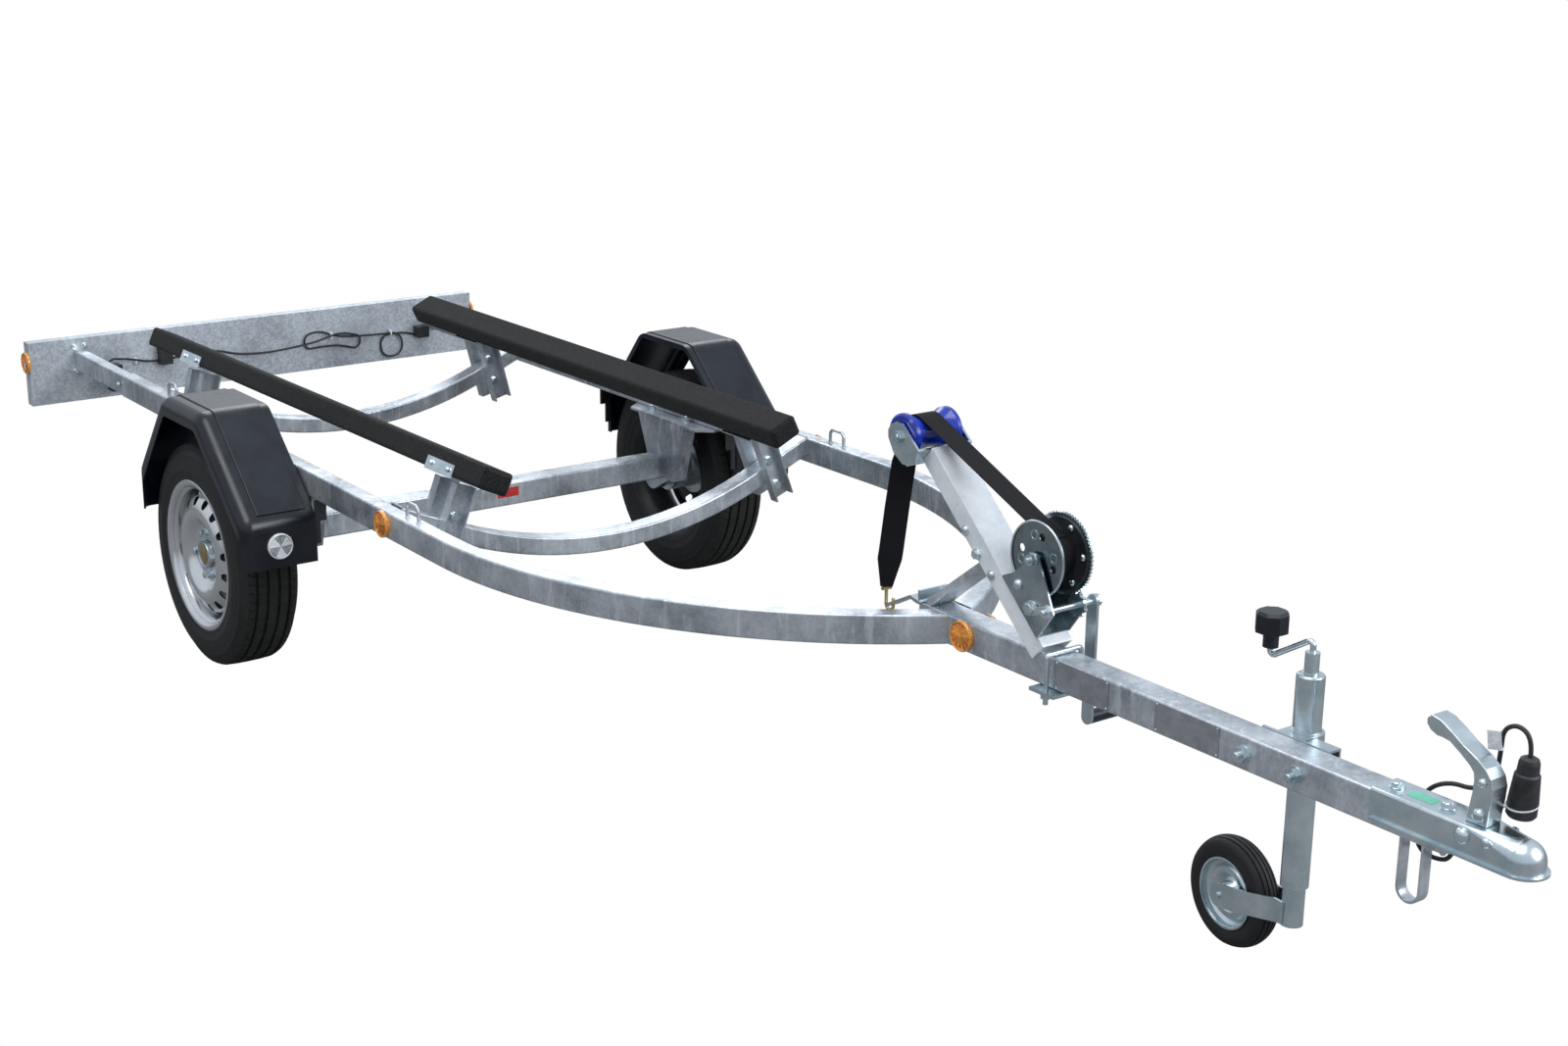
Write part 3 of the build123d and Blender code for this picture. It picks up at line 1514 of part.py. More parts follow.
with BuildPart() as front_reflectors:
    with BuildSketch(Plane.YZ.offset(guard_front_x + gap)):
        with Locations((guard_out_y - front_reflector_in, front_reflector_z)):
            Circle(reflector_r)
    extrude(amount=reflector_t)
both_sides("front_reflectors", front_reflectors)

# ---- park it: nose down on the jockey wheel, origin under the middle ----
tipped = {
    name: Pos(0, 0, tyre_r) * Rot(0, park_pitch, 0) * Pos(0, 0, -tyre_r) * builder.part
    for name, builder in pieces.items()
}
boxes = [piece.bounding_box() for piece in tipped.values()]
mid_x = (min(b.min.X for b in boxes) + max(b.max.X for b in boxes)) / 2
low_z = min(b.min.Z for b in boxes)
os.makedirs("parts", exist_ok=True)
for name, piece in tipped.items():
    parked = Pos(-mid_x, 0, -low_z) * piece
    parked.label = name
    export_step(parked, f"parts/{name}.step")
print("origin shift", round(mid_x, 2), round(low_z, 3))
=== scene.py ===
import json
import math
import random

import bmesh
import bpy
from mathutils import Matrix, Vector


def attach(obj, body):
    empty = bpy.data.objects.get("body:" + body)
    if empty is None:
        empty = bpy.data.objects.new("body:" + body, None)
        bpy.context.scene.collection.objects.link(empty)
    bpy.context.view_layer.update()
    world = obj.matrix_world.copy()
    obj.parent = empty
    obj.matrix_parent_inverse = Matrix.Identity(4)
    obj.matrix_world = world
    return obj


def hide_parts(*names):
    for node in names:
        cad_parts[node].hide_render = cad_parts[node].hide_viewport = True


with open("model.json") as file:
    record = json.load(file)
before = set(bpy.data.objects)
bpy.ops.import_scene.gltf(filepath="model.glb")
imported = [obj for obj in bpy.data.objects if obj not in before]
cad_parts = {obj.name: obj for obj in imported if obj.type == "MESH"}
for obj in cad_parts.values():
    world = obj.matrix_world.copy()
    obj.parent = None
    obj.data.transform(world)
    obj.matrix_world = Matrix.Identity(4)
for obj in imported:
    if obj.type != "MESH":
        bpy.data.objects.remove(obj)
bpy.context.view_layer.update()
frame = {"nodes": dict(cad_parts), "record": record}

# ---- the object's own axes: X forward, Y left, Z up, in millimetres, wheel axle over X = 0 ----
PARK_PITCH = math.radians(1.725)
TYRE_R = 272.0
MID_X = 962.13
PARKED = (
    Matrix.Translation((-MID_X / 1000, 0, TYRE_R / 1000))
    @ Matrix.Rotation(PARK_PITCH, 4, "Y")
    @ Matrix.Translation((0, 0, -TYRE_R / 1000))
    @ Matrix.Scale(0.001, 4)
)
WHEEL_Y = 666.5


def place(x, y, z):
    """A point of the object's own axes, in the shared frame."""
    return PARKED @ Vector((x, y, z))


def full_turn(count):
    """Angles that share one turn evenly."""
    return [2 * math.pi * k / count for k in range(count)]


def turned(r, angle, z=0.0):
    """A point at a radius and an angle about Z."""
    return Vector((r * math.cos(angle), r * math.sin(angle), z))


def new_object(name, data):
    obj = bpy.data.objects.new(name, data)
    bpy.context.scene.collection.objects.link(obj)
    return obj


def soften(obj, width, segments):
    """Rounds an object's sharp edges by a width in millimetres."""
    soft = obj.modifiers.new("soft_edges", "BEVEL")
    soft.width = width / 1000
    soft.segments = segments
    soft.limit_method = "ANGLE"
    soft.harden_normals = True


# ---- materials ----
def material(name):
    """A new material, its node tree and its surface node."""
    mat = bpy.data.materials.new(name)
    mat.use_nodes = True
    return mat, mat.node_tree, mat.node_tree.nodes["Principled BSDF"]


def coords(tree, scale=(1, 1, 1)):
    """Texture coordinates of the object itself, in metres, times scale."""
    source = tree.nodes.new("ShaderNodeTexCoord")
    mapping = tree.nodes.new("ShaderNodeMapping")
    mapping.inputs["Scale"].default_value = scale
    tree.links.new(source.outputs["Object"], mapping.inputs["Vector"])
    return mapping.outputs["Vector"]


def noise(tree, vector, scale, detail=4.0, roughness=0.6):
    tex = tree.nodes.new("ShaderNodeTexNoise")
    tex.inputs["Scale"].default_value = scale
    tex.inputs["Detail"].default_value = detail
    tex.inputs["Roughness"].default_value = roughness
    tree.links.new(vector, tex.inputs["Vector"])
    return tex.outputs["Fac"]


def voronoi(tree, vector, scale, output="Color"):
    tex = tree.nodes.new("ShaderNodeTexVoronoi")
    tex.inputs["Scale"].default_value = scale
    tree.links.new(vector, tex.inputs["Vector"])
    return tex.outputs[output]


def ramp(tree, value, stops):
    """Colour stops: (position, (r, g, b)) or (position, grey)."""
    node = tree.nodes.new("ShaderNodeValToRGB")
    elements = node.color_ramp.elements
    while len(elements) < len(stops):
        elements.new(0.5)
    for element, (position, colour) in zip(elements, stops):
        element.position = position
        rgb = colour if isinstance(colour, tuple) else (colour, colour, colour)
        element.color = (*rgb, 1)
    tree.links.new(value, node.inputs["Fac"])
    return node.outputs["Color"]


def spread(tree, value, low, high, start=0.0, end=1.0):
    """Maps value from start..end to low..high."""
    node = tree.nodes.new("ShaderNodeMapRange")
    node.inputs["From Min"].default_value = start
    node.inputs["From Max"].default_value = end
    node.inputs["To Min"].default_value = low
    node.inputs["To Max"].default_value = high
    tree.links.new(value, node.inputs["Value"])
    return node.outputs["Result"]


def mixed(tree, factor, a, b, blend="MIX"):
    """Mix of two colours, each a socket or a plain colour."""
    node = tree.nodes.new("ShaderNodeMix")
    node.data_type = "RGBA"
    node.blend_type = blend
    for value, socket in ((factor, node.inputs[0]), (a, node.inputs[6]), (b, node.inputs[7])):
        if isinstance(value, bpy.types.NodeSocket):
            tree.links.new(value, socket)
        elif isinstance(value, tuple):
            socket.default_value = (*value, 1)
        else:
            socket.default_value = value
    return node.outputs[2]


def bump(tree, height, bsdf, strength, distance, under=None):
    node = tree.nodes.new("ShaderNodeBump")
    node.inputs["Strength"].default_value = strength
    node.inputs["Distance"].default_value = distance
    tree.links.new(height, node.inputs["Height"])
    if under is not None:
        tree.links.new(under, node.inputs["Normal"])
    tree.links.new(node.outputs["Normal"], bsdf.inputs["Normal"])
    return node.outputs["Normal"]


def galvanised(name, dark, light, rough, spangle=0.35, streaks=1.0, metallic=0.82):
    """Hot-dip zinc: cloudy patches, a fine spangle and pale runs down the sides."""
    mat, tree, bsdf = material(name)
    here = coords(tree)
    tall = coords(tree, (1, 1, 0.16))
    clouds = noise(tree, here, 7.0, 7.0, 0.62)
    middle = tuple((a + b) / 2 for a, b in zip(dark, light))
    base = ramp(tree, clouds, ((0.34, dark), (0.50, middle), (0.66, light)))
    cells = ramp(tree, voronoi(tree, here, 170.0), ((0.2, 0.25), (0.8, 0.75)))
    base = mixed(tree, spangle, base, cells, "SOFT_LIGHT")
    runs = noise(tree, tall, 46.0, 5.0, 0.7)
    pale = ramp(tree, runs, ((0.53, 0.0), (0.64, 1.0)))
    base = mixed(tree, spread(tree, pale, 0.0, 0.5 * streaks), base, (0.88, 0.91, 0.94))
    tree.links.new(base, bsdf.inputs["Base Color"])
    bsdf.inputs["Metallic"].default_value = metallic
    patches = noise(tree, here, 19.0, 5.0, 0.6)
    tree.links.new(spread(tree, patches, rough[0], rough[1], 0.3, 0.7), bsdf.inputs["Roughness"])
    grain = bump(tree, noise(tree, here, 420.0, 3.0), bsdf, 0.10, 0.0006)
    bump(tree, noise(tree, here, 34.0, 3.0), bsdf, 0.16, 0.004, grain)
    return mat


def plated(name, base, tint, rough, wave=0.02):
    """Bright zinc plate with a faint tint that shifts over the surface."""
    mat, tree, bsdf = material(name)
    here = coords(tree)
    clouds = noise(tree, here, 16.0, 5.0, 0.6)
    colour = ramp(tree, clouds, ((0.35, base), (0.68, tint)))
    tree.links.new(colour, bsdf.inputs["Base Color"])
    bsdf.inputs["Metallic"].default_value = 1.0
    smears = noise(tree, coords(tree, (1, 1, 0.3)), 22.0, 4.0, 0.6)
    tree.links.new(spread(tree, smears, rough[0], rough[1], 0.3, 0.7), bsdf.inputs["Roughness"])
    bump(tree, noise(tree, here, 30.0, 2.0), bsdf, wave, 0.003)
    return mat


def plain(name, dark, light, rough, metallic=0.0, scale=30.0, grain=900.0, strength=0.15, coat=0.0):
    """Paint, plastic or rubber with soft patches and a fine grain."""
    mat, tree, bsdf = material(name)
    here = coords(tree)
    patches = noise(tree, here, scale, 6.0, 0.65)
    tree.links.new(ramp(tree, patches, ((0.36, dark), (0.68, light))), bsdf.inputs["Base Color"])
    bsdf.inputs["Metallic"].default_value = metallic
    bsdf.inputs["Coat Weight"].default_value = coat
    bsdf.inputs["Coat Roughness"].default_value = 0.12
    tree.links.new(spread(tree, patches, rough[0], rough[1], 0.3, 0.7), bsdf.inputs["Roughness"])
    bump(tree, noise(tree, here, grain, 3.0), bsdf, strength, 0.0004)
    return mat


def carpet_material(name):
    """Short dark pile with a few pale fibres."""
    mat, tree, bsdf = material(name)
    here = coords(tree)
    fibres = noise(tree, here, 430.0, 4.0, 0.7)
    tufts = noise(tree, here, 260.0, 4.0, 0.75)
    colour = ramp(tree, fibres, ((0.40, 0.009), (0.55, 0.020), (0.63, 0.060), (0.74, 0.15)))
    shade = ramp(tree, tufts, ((0.3, 0.25), (0.7, 0.95)))
    colour = mixed(tree, 0.5, colour, shade, "MULTIPLY")
    tree.links.new(colour, bsdf.inputs["Base Color"])
    bsdf.inputs["Roughness"].default_value = 0.97
    bsdf.inputs["Specular IOR Level"].default_value = 0.15
    bsdf.inputs["Sheen Weight"].default_value = 0.08
    fine = bump(tree, fibres, bsdf, 0.9, 0.0016)
    bump(tree, tufts, bsdf, 0.6, 0.004, fine)
    return mat


def webbing_material(name):
    """Woven strap."""
    mat, tree, bsdf = material(name)
    here = coords(tree)
    weave = tree.nodes.new("ShaderNodeTexWave")
    weave.wave_type = "BANDS"
    weave.bands_direction = "DIAGONAL"
    weave.inputs["Scale"].default_value = 210.0
    weave.inputs["Distortion"].default_value = 1.5
    weave.inputs["Detail"].default_value = 2.0
    tree.links.new(here, weave.inputs["Vector"])
    threads = ((0.1, (0.004, 0.004, 0.005)), (0.9, (0.012, 0.011, 0.014)))
    colour = ramp(tree, weave.outputs["Fac"], threads)
    tree.links.new(colour, bsdf.inputs["Base Color"])
    bsdf.inputs["Roughness"].default_value = 0.78
    bsdf.inputs["Specular IOR Level"].default_value = 0.22
    bump(tree, weave.outputs["Fac"], bsdf, 0.5, 0.0008)
    return mat


def lens_material(name, deep, bright, prisms=0.55):
    """Moulded reflector: a clear coloured face over small prisms, with painted glints: each prism's colour
    lighter or darker at random.
    """
    mat, tree, bsdf = material(name)
    here = coords(tree)
    facets = voronoi(tree, here, 330.0)
    # each prism cell painted lighter or darker: painted glints
    painted_glints = ramp(tree, facets, ((0.15, deep), (0.62, bright)))
    tree.links.new(painted_glints, bsdf.inputs["Base Color"])
    bsdf.inputs["Roughness"].default_value = 0.16
    bsdf.inputs["Coat Weight"].default_value = 1.0
    bsdf.inputs["Coat Roughness"].default_value = 0.04
    cells = voronoi(tree, here, 330.0, "Distance")
    bump(tree, cells, bsdf, prisms, 0.003)
    return mat


LAMP_ACROSS = (0.455, 0.665)  # metres from the trailer's middle


def lamp_material(name):
    """Rear lamp lens in bands across: a clear strip inside, then red, then amber."""
    mat, tree, bsdf = material(name)
    source = tree.nodes.new("ShaderNodeTexCoord")
    split = tree.nodes.new("ShaderNodeSeparateXYZ")
    tree.links.new(source.outputs["Object"], split.inputs["Vector"])
    aside = tree.nodes.new("ShaderNodeMath")
    aside.operation = "ABSOLUTE"
    tree.links.new(split.outputs["Y"], aside.inputs[0])
    across = spread(tree, aside.outputs[0], 0.0, 1.0, *LAMP_ACROSS)
    clear, red, amber = (0.75, 0.76, 0.78), (0.52, 0.008, 0.006), (0.86, 0.20, 0.01)
    bands = ramp(tree, across, ((0.0, clear), (0.14, red), (0.66, amber)))
    bands.node.color_ramp.interpolation = "CONSTANT"
    here = coords(tree)
    cells = voronoi(tree, here, 160.0, "Distance")
    tree.links.new(bands, bsdf.inputs["Base Color"])
    bsdf.inputs["Roughness"].default_value = 0.12
    bsdf.inputs["Coat Weight"].default_value = 1.0
    bump(tree, cells, bsdf, 0.5, 0.003)
    return mat


MATERIALS = (
    # maker, name, then what the maker takes, in its own order
    (galvanised, "galvanised", (0.32, 0.35, 0.38), (0.7, 0.74, 0.78), (0.26, 0.48)),
    (galvanised, "board_zinc", (0.44, 0.47, 0.51), (0.62, 0.66, 0.7), (0.42, 0.6), 0.75, 0.35, 0.6),
    # a much lighter copy of the galvanised finish for the winch post: painted light
    (galvanised, "post_zinc", (0.72, 0.76, 0.8), (0.96, 0.97, 0.98), (0.26, 0.46), 0.3, 1.0, 0.2),
    # darker copies of the bright zinc plate for the winch frame and drum: painted shade for the dark
    # surroundings their sides mirror
    (plated, "zinc_mid", (0.28, 0.35, 0.38), (0.52, 0.58, 0.6), (0.18, 0.3)),
    (plated, "zinc_dark", (0.16, 0.21, 0.23), (0.3, 0.36, 0.38), (0.18, 0.34)),
    (plated, "zinc", (0.52, 0.62, 0.66), (0.76, 0.82, 0.84), (0.2, 0.3)),
    (plated, "zinc_dull", (0.46, 0.53, 0.57), (0.64, 0.7, 0.72), (0.28, 0.42), 0.04),
    (plain, "rim_paint", (0.68, 0.69, 0.7), (0.76, 0.77, 0.78), (0.2, 0.24), 0.95, 14, 1500, 0.03),
    (plain, "tyre", (0.003, 0.003, 0.004), (0.012, 0.012, 0.013), (0.5, 0.74), 0.0, 24, 700, 0.25),
    (plain, "tread", (0.006, 0.006, 0.005), (0.022, 0.021, 0.019), (0.68, 0.9), 0.0, 40, 700, 0.35),
    (carpet_material, "carpet"),
    (plain, "black_plastic", (0.002, 0.003, 0.007), (0.007, 0.01, 0.018), (0.24, 0.38), 0.0, 9.0, 1200, 0.1),
    (plain, "black_rubber", (0.01, 0.01, 0.011), (0.028, 0.028, 0.03), (0.4, 0.6), 0.0, 60, 900, 0.12),
    (plain, "black_paint", (0.012, 0.013, 0.015), (0.028, 0.03, 0.034), (0.28, 0.42), 0.0, 20, 900, 0.1, 0.3),
    (plain, "blue_roller", (0.002, 0.014, 0.22), (0.004, 0.034, 0.42), (0.14, 0.3), 0.0, 18, 500, 0.08, 0.3),
    (webbing_material, "webbing"),
    (plain, "brass", (0.55, 0.38, 0.13), (0.8, 0.6, 0.28), (0.2, 0.38), 1.0, 60, 900, 0.08),
    (lens_material, "orange_lens", (0.9, 0.2, 0.006), (1.0, 0.46, 0.05)),
    (lens_material, "white_lens", (0.8, 0.83, 0.86), (1.0, 1.0, 1.0), 0.2),
    # darker copies of the lenses for every other pair of wedges: painted shade
    (lens_material, "orange_dark", (0.62, 0.11, 0.004), (0.95, 0.3, 0.02)),
    (lens_material, "white_lens_dark", (0.22, 0.24, 0.26), (0.42, 0.45, 0.48), 0.2),
    # a near-black for the inside of the barrel and the back of the disc: painted shade
    (plain, "rim_inside", (0.01, 0.01, 0.011), (0.03, 0.029, 0.029), (0.3, 0.5), 0.2, 20, 700, 0.1),
    (lamp_material, "rear_lamp_lens"),
    (plain, "blank_plate", (0.3, 0.31, 0.33), (0.42, 0.43, 0.45), (0.38, 0.52), 0.7, 45, 700, 0.06),
    (plain, "green_label", (0.1, 0.42, 0.3), (0.16, 0.52, 0.38), (0.4, 0.55), 0.0, 80, 900, 0.05),
    (plain, "red_label", (0.42, 0.02, 0.015), (0.6, 0.04, 0.03), (0.35, 0.5), 0.0, 80, 900, 0.05),
    (plain, "white_tie", (0.66, 0.67, 0.68), (0.84, 0.85, 0.86), (0.35, 0.5), 0.0, 80, 900, 0.05),
    (plain, "gold_cap", (0.36, 0.27, 0.12), (0.6, 0.48, 0.26), (0.16, 0.28), 1.0, 60, 900, 0.05),
    # a near-black for a thin sheet over the coupling's slot: painted shade
    (plain, "dark_gap", (0.004, 0.004, 0.004), (0.01, 0.01, 0.01), (0.8, 0.95), 0.0, 60, 900, 0.05),
)
MAT = {name: maker(name, *look) for maker, name, *look in MATERIALS}

# every construction node that isn't plain galvanised steel
NODES_BY_MATERIAL = {
    "board_zinc": ("light_board",),
    "carpet": ("bunks",),
    "black_plastic": ("mudguards", "jockey_knob", "crank_grip"),
    "black_paint": ("mudguard_stays", "drum_cheek"),
    "blue_roller": ("bow_roller",),
    "zinc": (
        "roller_bracket", "coupling_head", "coupling_lever", "jockey_outer", "jockey_inner",
        "jockey_crank", "jockey_fork", "jockey_rim", "winch_shafts", "stand_clamp", "bunk_pads",
    ),
    "zinc_dull": ("jockey_clamp", "winch_crank", "hook_plate", "hub_left", "hub_right"),
    "tyre": ("jockey_tyre", "tyre_left", "tyre_right"),
    # the winch post's lighter copy of the galvanised finish is painted light
    "post_zinc": ("winch_post",),
    # the winch frame's and drum's darker copies of zinc plate are painted shade
    "zinc_mid": ("winch_frame",),
    "zinc_dark": ("winch_drum",),
    "webbing": ("strap",),
    "brass": ("strap_hook",),
    "orange_lens": ("side_reflectors",),
    "white_lens": ("front_reflectors",),
    "rear_lamp_lens": ("rear_lamps",),
    "blank_plate": ("id_plates",),
    "black_rubber": ("plug", "front_cable", "rear_cable_long", "rear_cable_short", "rear_connectors"),
    "rim_paint": ("rim_left", "rim_right"),
}
material_of = {node: key for key, names in NODES_BY_MATERIAL.items() for node in names}
for name, node in frame["nodes"].items():
    node.data.materials.clear()
    node.data.materials.append(MAT[material_of.get(name, "galvanised")])

WELD_WITHIN = 0.00002  # metres; the frame's faces don't share their vertices
SOFT_EDGES = {
    # node: width of the rounding in millimetres
    "coupling_lever": 5.0,
    "coupling_head": 1.6,
    "bunks": 3.0,
    "light_board": 1.0,
    "roller_bracket": 1.5,
    "winch_frame": 0.9,
    "winch_post": 3.0,
    "winch_strut": 2.0,
    "rails": 3.5,
    "drawbar": 3.5,
    "cross_arcs": 3.0,
    "axle_tube": 3.5,
    "safety_loop": 1.0,
}
for name, width in SOFT_EDGES.items():
    joined = frame["nodes"][name].modifiers.new("joined_faces", "WELD")
    joined.merge_threshold = WELD_WITHIN
    soften(frame["nodes"][name], width, 3)


def piece(name, bm, key, body="frame", smooth_angle=None, hides=(), bevel=0.0, second=None):
    """Makes a scene piece from a bmesh drawn in the object's own axes; second is a second material."""
    mesh = bpy.data.meshes.new(name)
    bmesh.ops.recalc_face_normals(bm, faces=bm.faces)
    bm.to_mesh(mesh)
    bm.free()
    mesh.transform(PARKED)
    obj = new_object(name, mesh)
    mesh.materials.append(MAT[key])
    if second:
        mesh.materials.append(MAT[second])
    if smooth_angle is not None:
        mesh.shade_smooth()
        mesh.set_sharp_from_angle(angle=math.radians(smooth_angle))
    if bevel:
        soften(obj, bevel, 2)
    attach(obj, body)
    if hides:
        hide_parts(*hides)
    return obj


def facing(direction, spot):
    """A matrix that turns +Z to a direction and moves to a spot."""
    turn = Vector(direction).normalized().to_track_quat("Z", "Y").to_matrix().to_4x4()
    return Matrix.Translation(spot) @ turn


def lifted(matrix, height):
    return matrix @ Matrix.Translation((0, 0, height))


def add_wall(bm, low, high):
    """Faces between two closed loops of the same length."""
    for i in range(len(low)):
        j = (i + 1) % len(low)
        bm.faces.new((low[i], low[j], high[j], high[i]))


def add_lathe(bm, profile, matrix, steps, closed_ends=True):
    """A turned shape about Z from (radius, height) points."""
    rings = []
    for radius, height in profile:
        turns = full_turn(steps) if radius > 1e-6 else (0.0,)
        rings.append([bm.verts.new(matrix @ turned(radius, turn, height)) for turn in turns])
    for low, high in zip(rings, rings[1:]):
        if len(low) > 1 and len(high) > 1:
            add_wall(bm, low, high)
        elif len(low) > 1 or len(high) > 1:
            for i in range(steps):
                j = (i + 1) % steps
                tip = (low[0], high[j], high[i]) if len(low) == 1 else (low[i], low[j], high[0])
                bm.faces.new(tip)
    if closed_ends:
        for ring in (rings[0], rings[-1]):
            if len(ring) > 1:
                bm.faces.new(ring)


def add_prism(bm, outline, height, matrix):
    """A straight prism along Z from an outline in X and Y."""
    low = [bm.verts.new(matrix @ Vector((x, y, 0))) for x, y in outline]
    high = [bm.verts.new(matrix @ Vector((x, y, height))) for x, y in outline]
    bm.faces.new(low)
    bm.faces.new(high)
    add_wall(bm, low, high)


def hexagon(across, turn):
    """Corners in X and Y, from the width across the flats and a turn in degrees."""
    radius = across / math.sqrt(3)
    return [turned(radius, math.radians(60 * i + turn)).xy for i in range(6)]


def add_box(bm, x, y, z):
    verts = [bm.verts.new((a, b, c)) for a in x for b in y for c in z]
    for face in ((0, 1, 3, 2), (4, 6, 7, 5), (0, 4, 5, 1), (2, 3, 7, 6), (0, 2, 6, 4), (1, 5, 7, 3)):
        bm.faces.new([verts[i] for i in face])


WASHER = 2.0


def add_bolt(bm, spot, direction, size, head, turn):
    """A washer with a hex head, nut or dome on a face; size is the thread's diameter."""
    matrix = facing(direction, spot)
    washer = size * 1.05
    add_lathe(bm, ((washer - 0.4, 0), (washer, 0.4), (washer, 1.6), (washer - 0.4, WASHER)), matrix, 28)
    raised = lifted(matrix, WASHER)
    across = size * 1.65
    if head == "dome":
        dome = ((size * 0.95, 0), (size * 0.85, size * 0.25), (size * 0.5, size * 0.48), (0, size * 0.55))
        add_lathe(bm, dome, raised, 24)
        return
    high = size * (0.55 if head == "hex" else 0.7)
    add_prism(bm, hexagon(across, turn), high, raised)
    if head == "hex":
        crown = ((across * 0.47, 0), (across * 0.40, size * 0.10), (0, size * 0.12))
        add_lathe(bm, crown, lifted(raised, high), 24)
    else:
        thread = ((size * 0.46, 0), (size * 0.46, size * 0.45), (size * 0.36, size * 0.55))
        add_lathe(bm, thread, lifted(raised, high), 20)


def add_tube(bm, points, radius, steps, cyclic=False):
    """A round bar through points; radius is a number, or a function of the point's place in the row."""
    spots = [Vector(p) for p in points]
    count = len(spots)
    rings = []
    normal = None
    for i, spot in enumerate(spots):
        before = spots[i - 1] if (i or cyclic) else spot
        after = spots[(i + 1) % count] if (i < count - 1 or cyclic) else spot
        along = (after - before).normalized()
        if normal is None:
            normal = along.orthogonal().normalized()
        normal = (normal - along * normal.dot(along)).normalized()
        side = along.cross(normal)
        r = radius(i) if callable(radius) else radius
        ways = [normal * math.cos(turn) + side * math.sin(turn) for turn in full_turn(steps)]
        rings.append([bm.verts.new(spot + way * r) for way in ways])
    pairs = list(zip(rings, rings[1:]))
    if cyclic:
        pairs.append((rings[-1], rings[0]))
    for low, high in pairs:
        add_wall(bm, low, high)
    if not cyclic:
        bm.faces.new(rings[0])
        bm.faces.new(rings[-1])


# ---- camera, light and floor ----
CAMERA_AT = (5.0676 - MID_X / 1000, -2.7039, 1.7577)
YAW, PITCH, ROLL = (math.radians(v) for v in (143.88, -15.10, -0.454))
FOCAL_PX = 2333.6
PHOTO_PX = 1600
SENSOR = 36.0
look = Vector((math.cos(YAW) * math.cos(PITCH), math.sin(YAW) * math.cos(PITCH), math.sin(PITCH)))
right = Vector((math.sin(YAW), -math.cos(YAW), 0))
up = right.cross(look)
right_rolled = right * math.cos(ROLL) + up * math.sin(ROLL)
up_rolled = up * math.cos(ROLL) - right * math.sin(ROLL)
camera_data = bpy.data.cameras.new("camera")
camera_data.sensor_width = SENSOR
camera_data.lens = FOCAL_PX / PHOTO_PX * SENSOR
camera = new_object("camera", camera_data)
axes = Matrix((right_rolled, up_rolled, -look)).transposed().to_4x4()
camera.matrix_world = Matrix.Translation(CAMERA_AT) @ axes
bpy.context.scene.camera = camera
bpy.context.scene.view_settings.view_transform = "Standard"


def soft_light(name, spot, target, size, power, colour):
    data = bpy.data.lights.new(name, "AREA")
    data.shape = "RECTANGLE"
    data.size, data.size_y = size
    data.energy = power
    data.color = colour
    aim = (Vector(spot) - Vector(target)).to_track_quat("Z", "Y").to_matrix().to_4x4()
    new_object(name, data).matrix_world = Matrix.Translation(spot) @ aim


def white_to_camera(tree, shader, white, output):
    """Shows white to the camera itself, and the other shader to all else."""
    seen = tree.nodes.new("ShaderNodeLightPath")
    mix = tree.nodes.new("ShaderNodeMixShader")
    tree.links.new(seen.outputs["Is Camera Ray"], mix.inputs["Fac"])
    tree.links.new(shader, mix.inputs[1])
    tree.links.new(white, mix.inputs[2])
    tree.links.new(mix.outputs["Shader"], output.inputs["Surface"])


soft_light("key", (1.5, -2.0, 6.5), (0.2, 0, 0.4), (4.0, 4.0), 200, (1.0, 0.99, 0.97))
soft_light("fill", (6.0, 2.5, 3.6), (0.4, 0, 0.4), (3.5, 3.0), 220, (0.92, 0.96, 1.0))
soft_light("back", (-5.0, 2.5, 4.5), (-0.5, 0, 0.4), (4.0, 3.0), 120, (0.95, 0.98, 1.0))

world = bpy.data.worlds.new("studio")
world.use_nodes = True
bpy.context.scene.world = world
sky_tree = world.node_tree
sky_coords = sky_tree.nodes.new("ShaderNodeTexCoord")
sky_split = sky_tree.nodes.new("ShaderNodeSeparateXYZ")
sky_tree.links.new(sky_coords.outputs["Generated"], sky_split.inputs["Vector"])
height = spread(sky_tree, sky_split.outputs["Z"], 0.0, 1.0, -1.0, 1.0)
SKY = (
    # height from straight down (0) to straight up (1), colour
    (0.0, (0.20, 0.20, 0.20)),
    (0.49, (0.14, 0.14, 0.14)),
    (0.52, (0.40, 0.44, 0.48)),
    (0.58, (0.74, 0.80, 0.88)),
    (1.0, (0.82, 0.90, 1.0)),
)
sky = ramp(sky_tree, height, SKY)
sky_shader = sky_tree.nodes["Background"]
sky_tree.links.new(sky, sky_shader.inputs["Color"])
sky_shader.inputs["Strength"].default_value = 0.85
white = sky_tree.nodes.new("ShaderNodeBackground")
white.inputs["Color"].default_value = (1, 1, 1, 1)
white.inputs["Strength"].default_value = 1.0
white_to_camera(
    sky_tree, sky_shader.outputs["Background"], white.outputs["Background"], sky_tree.nodes["World Output"]
)

FLOOR_HALF = 40  # metres
floor_mesh = bpy.data.meshes.new("floor")
floor_bm = bmesh.new()
bmesh.ops.create_grid(floor_bm, x_segments=1, y_segments=1, size=FLOOR_HALF)
floor_bm.to_mesh(floor_mesh)
floor_bm.free()
floor = new_object("floor", floor_mesh)
floor_mat, floor_tree, floor_bsdf = material("floor")
floor_bsdf.inputs["Base Color"].default_value = (0.20, 0.20, 0.20, 1)
floor_bsdf.inputs["Roughness"].default_value = 0.9
floor_glow = floor_tree.nodes.new("ShaderNodeEmission")
floor_glow.inputs["Color"].default_value = (1, 1, 1, 1)
floor_out = floor_tree.nodes["Material Output"]
white_to_camera(floor_tree, floor_bsdf.outputs["BSDF"], floor_glow.outputs["Emission"], floor_out)
floor_mesh.materials.append(floor_mat)

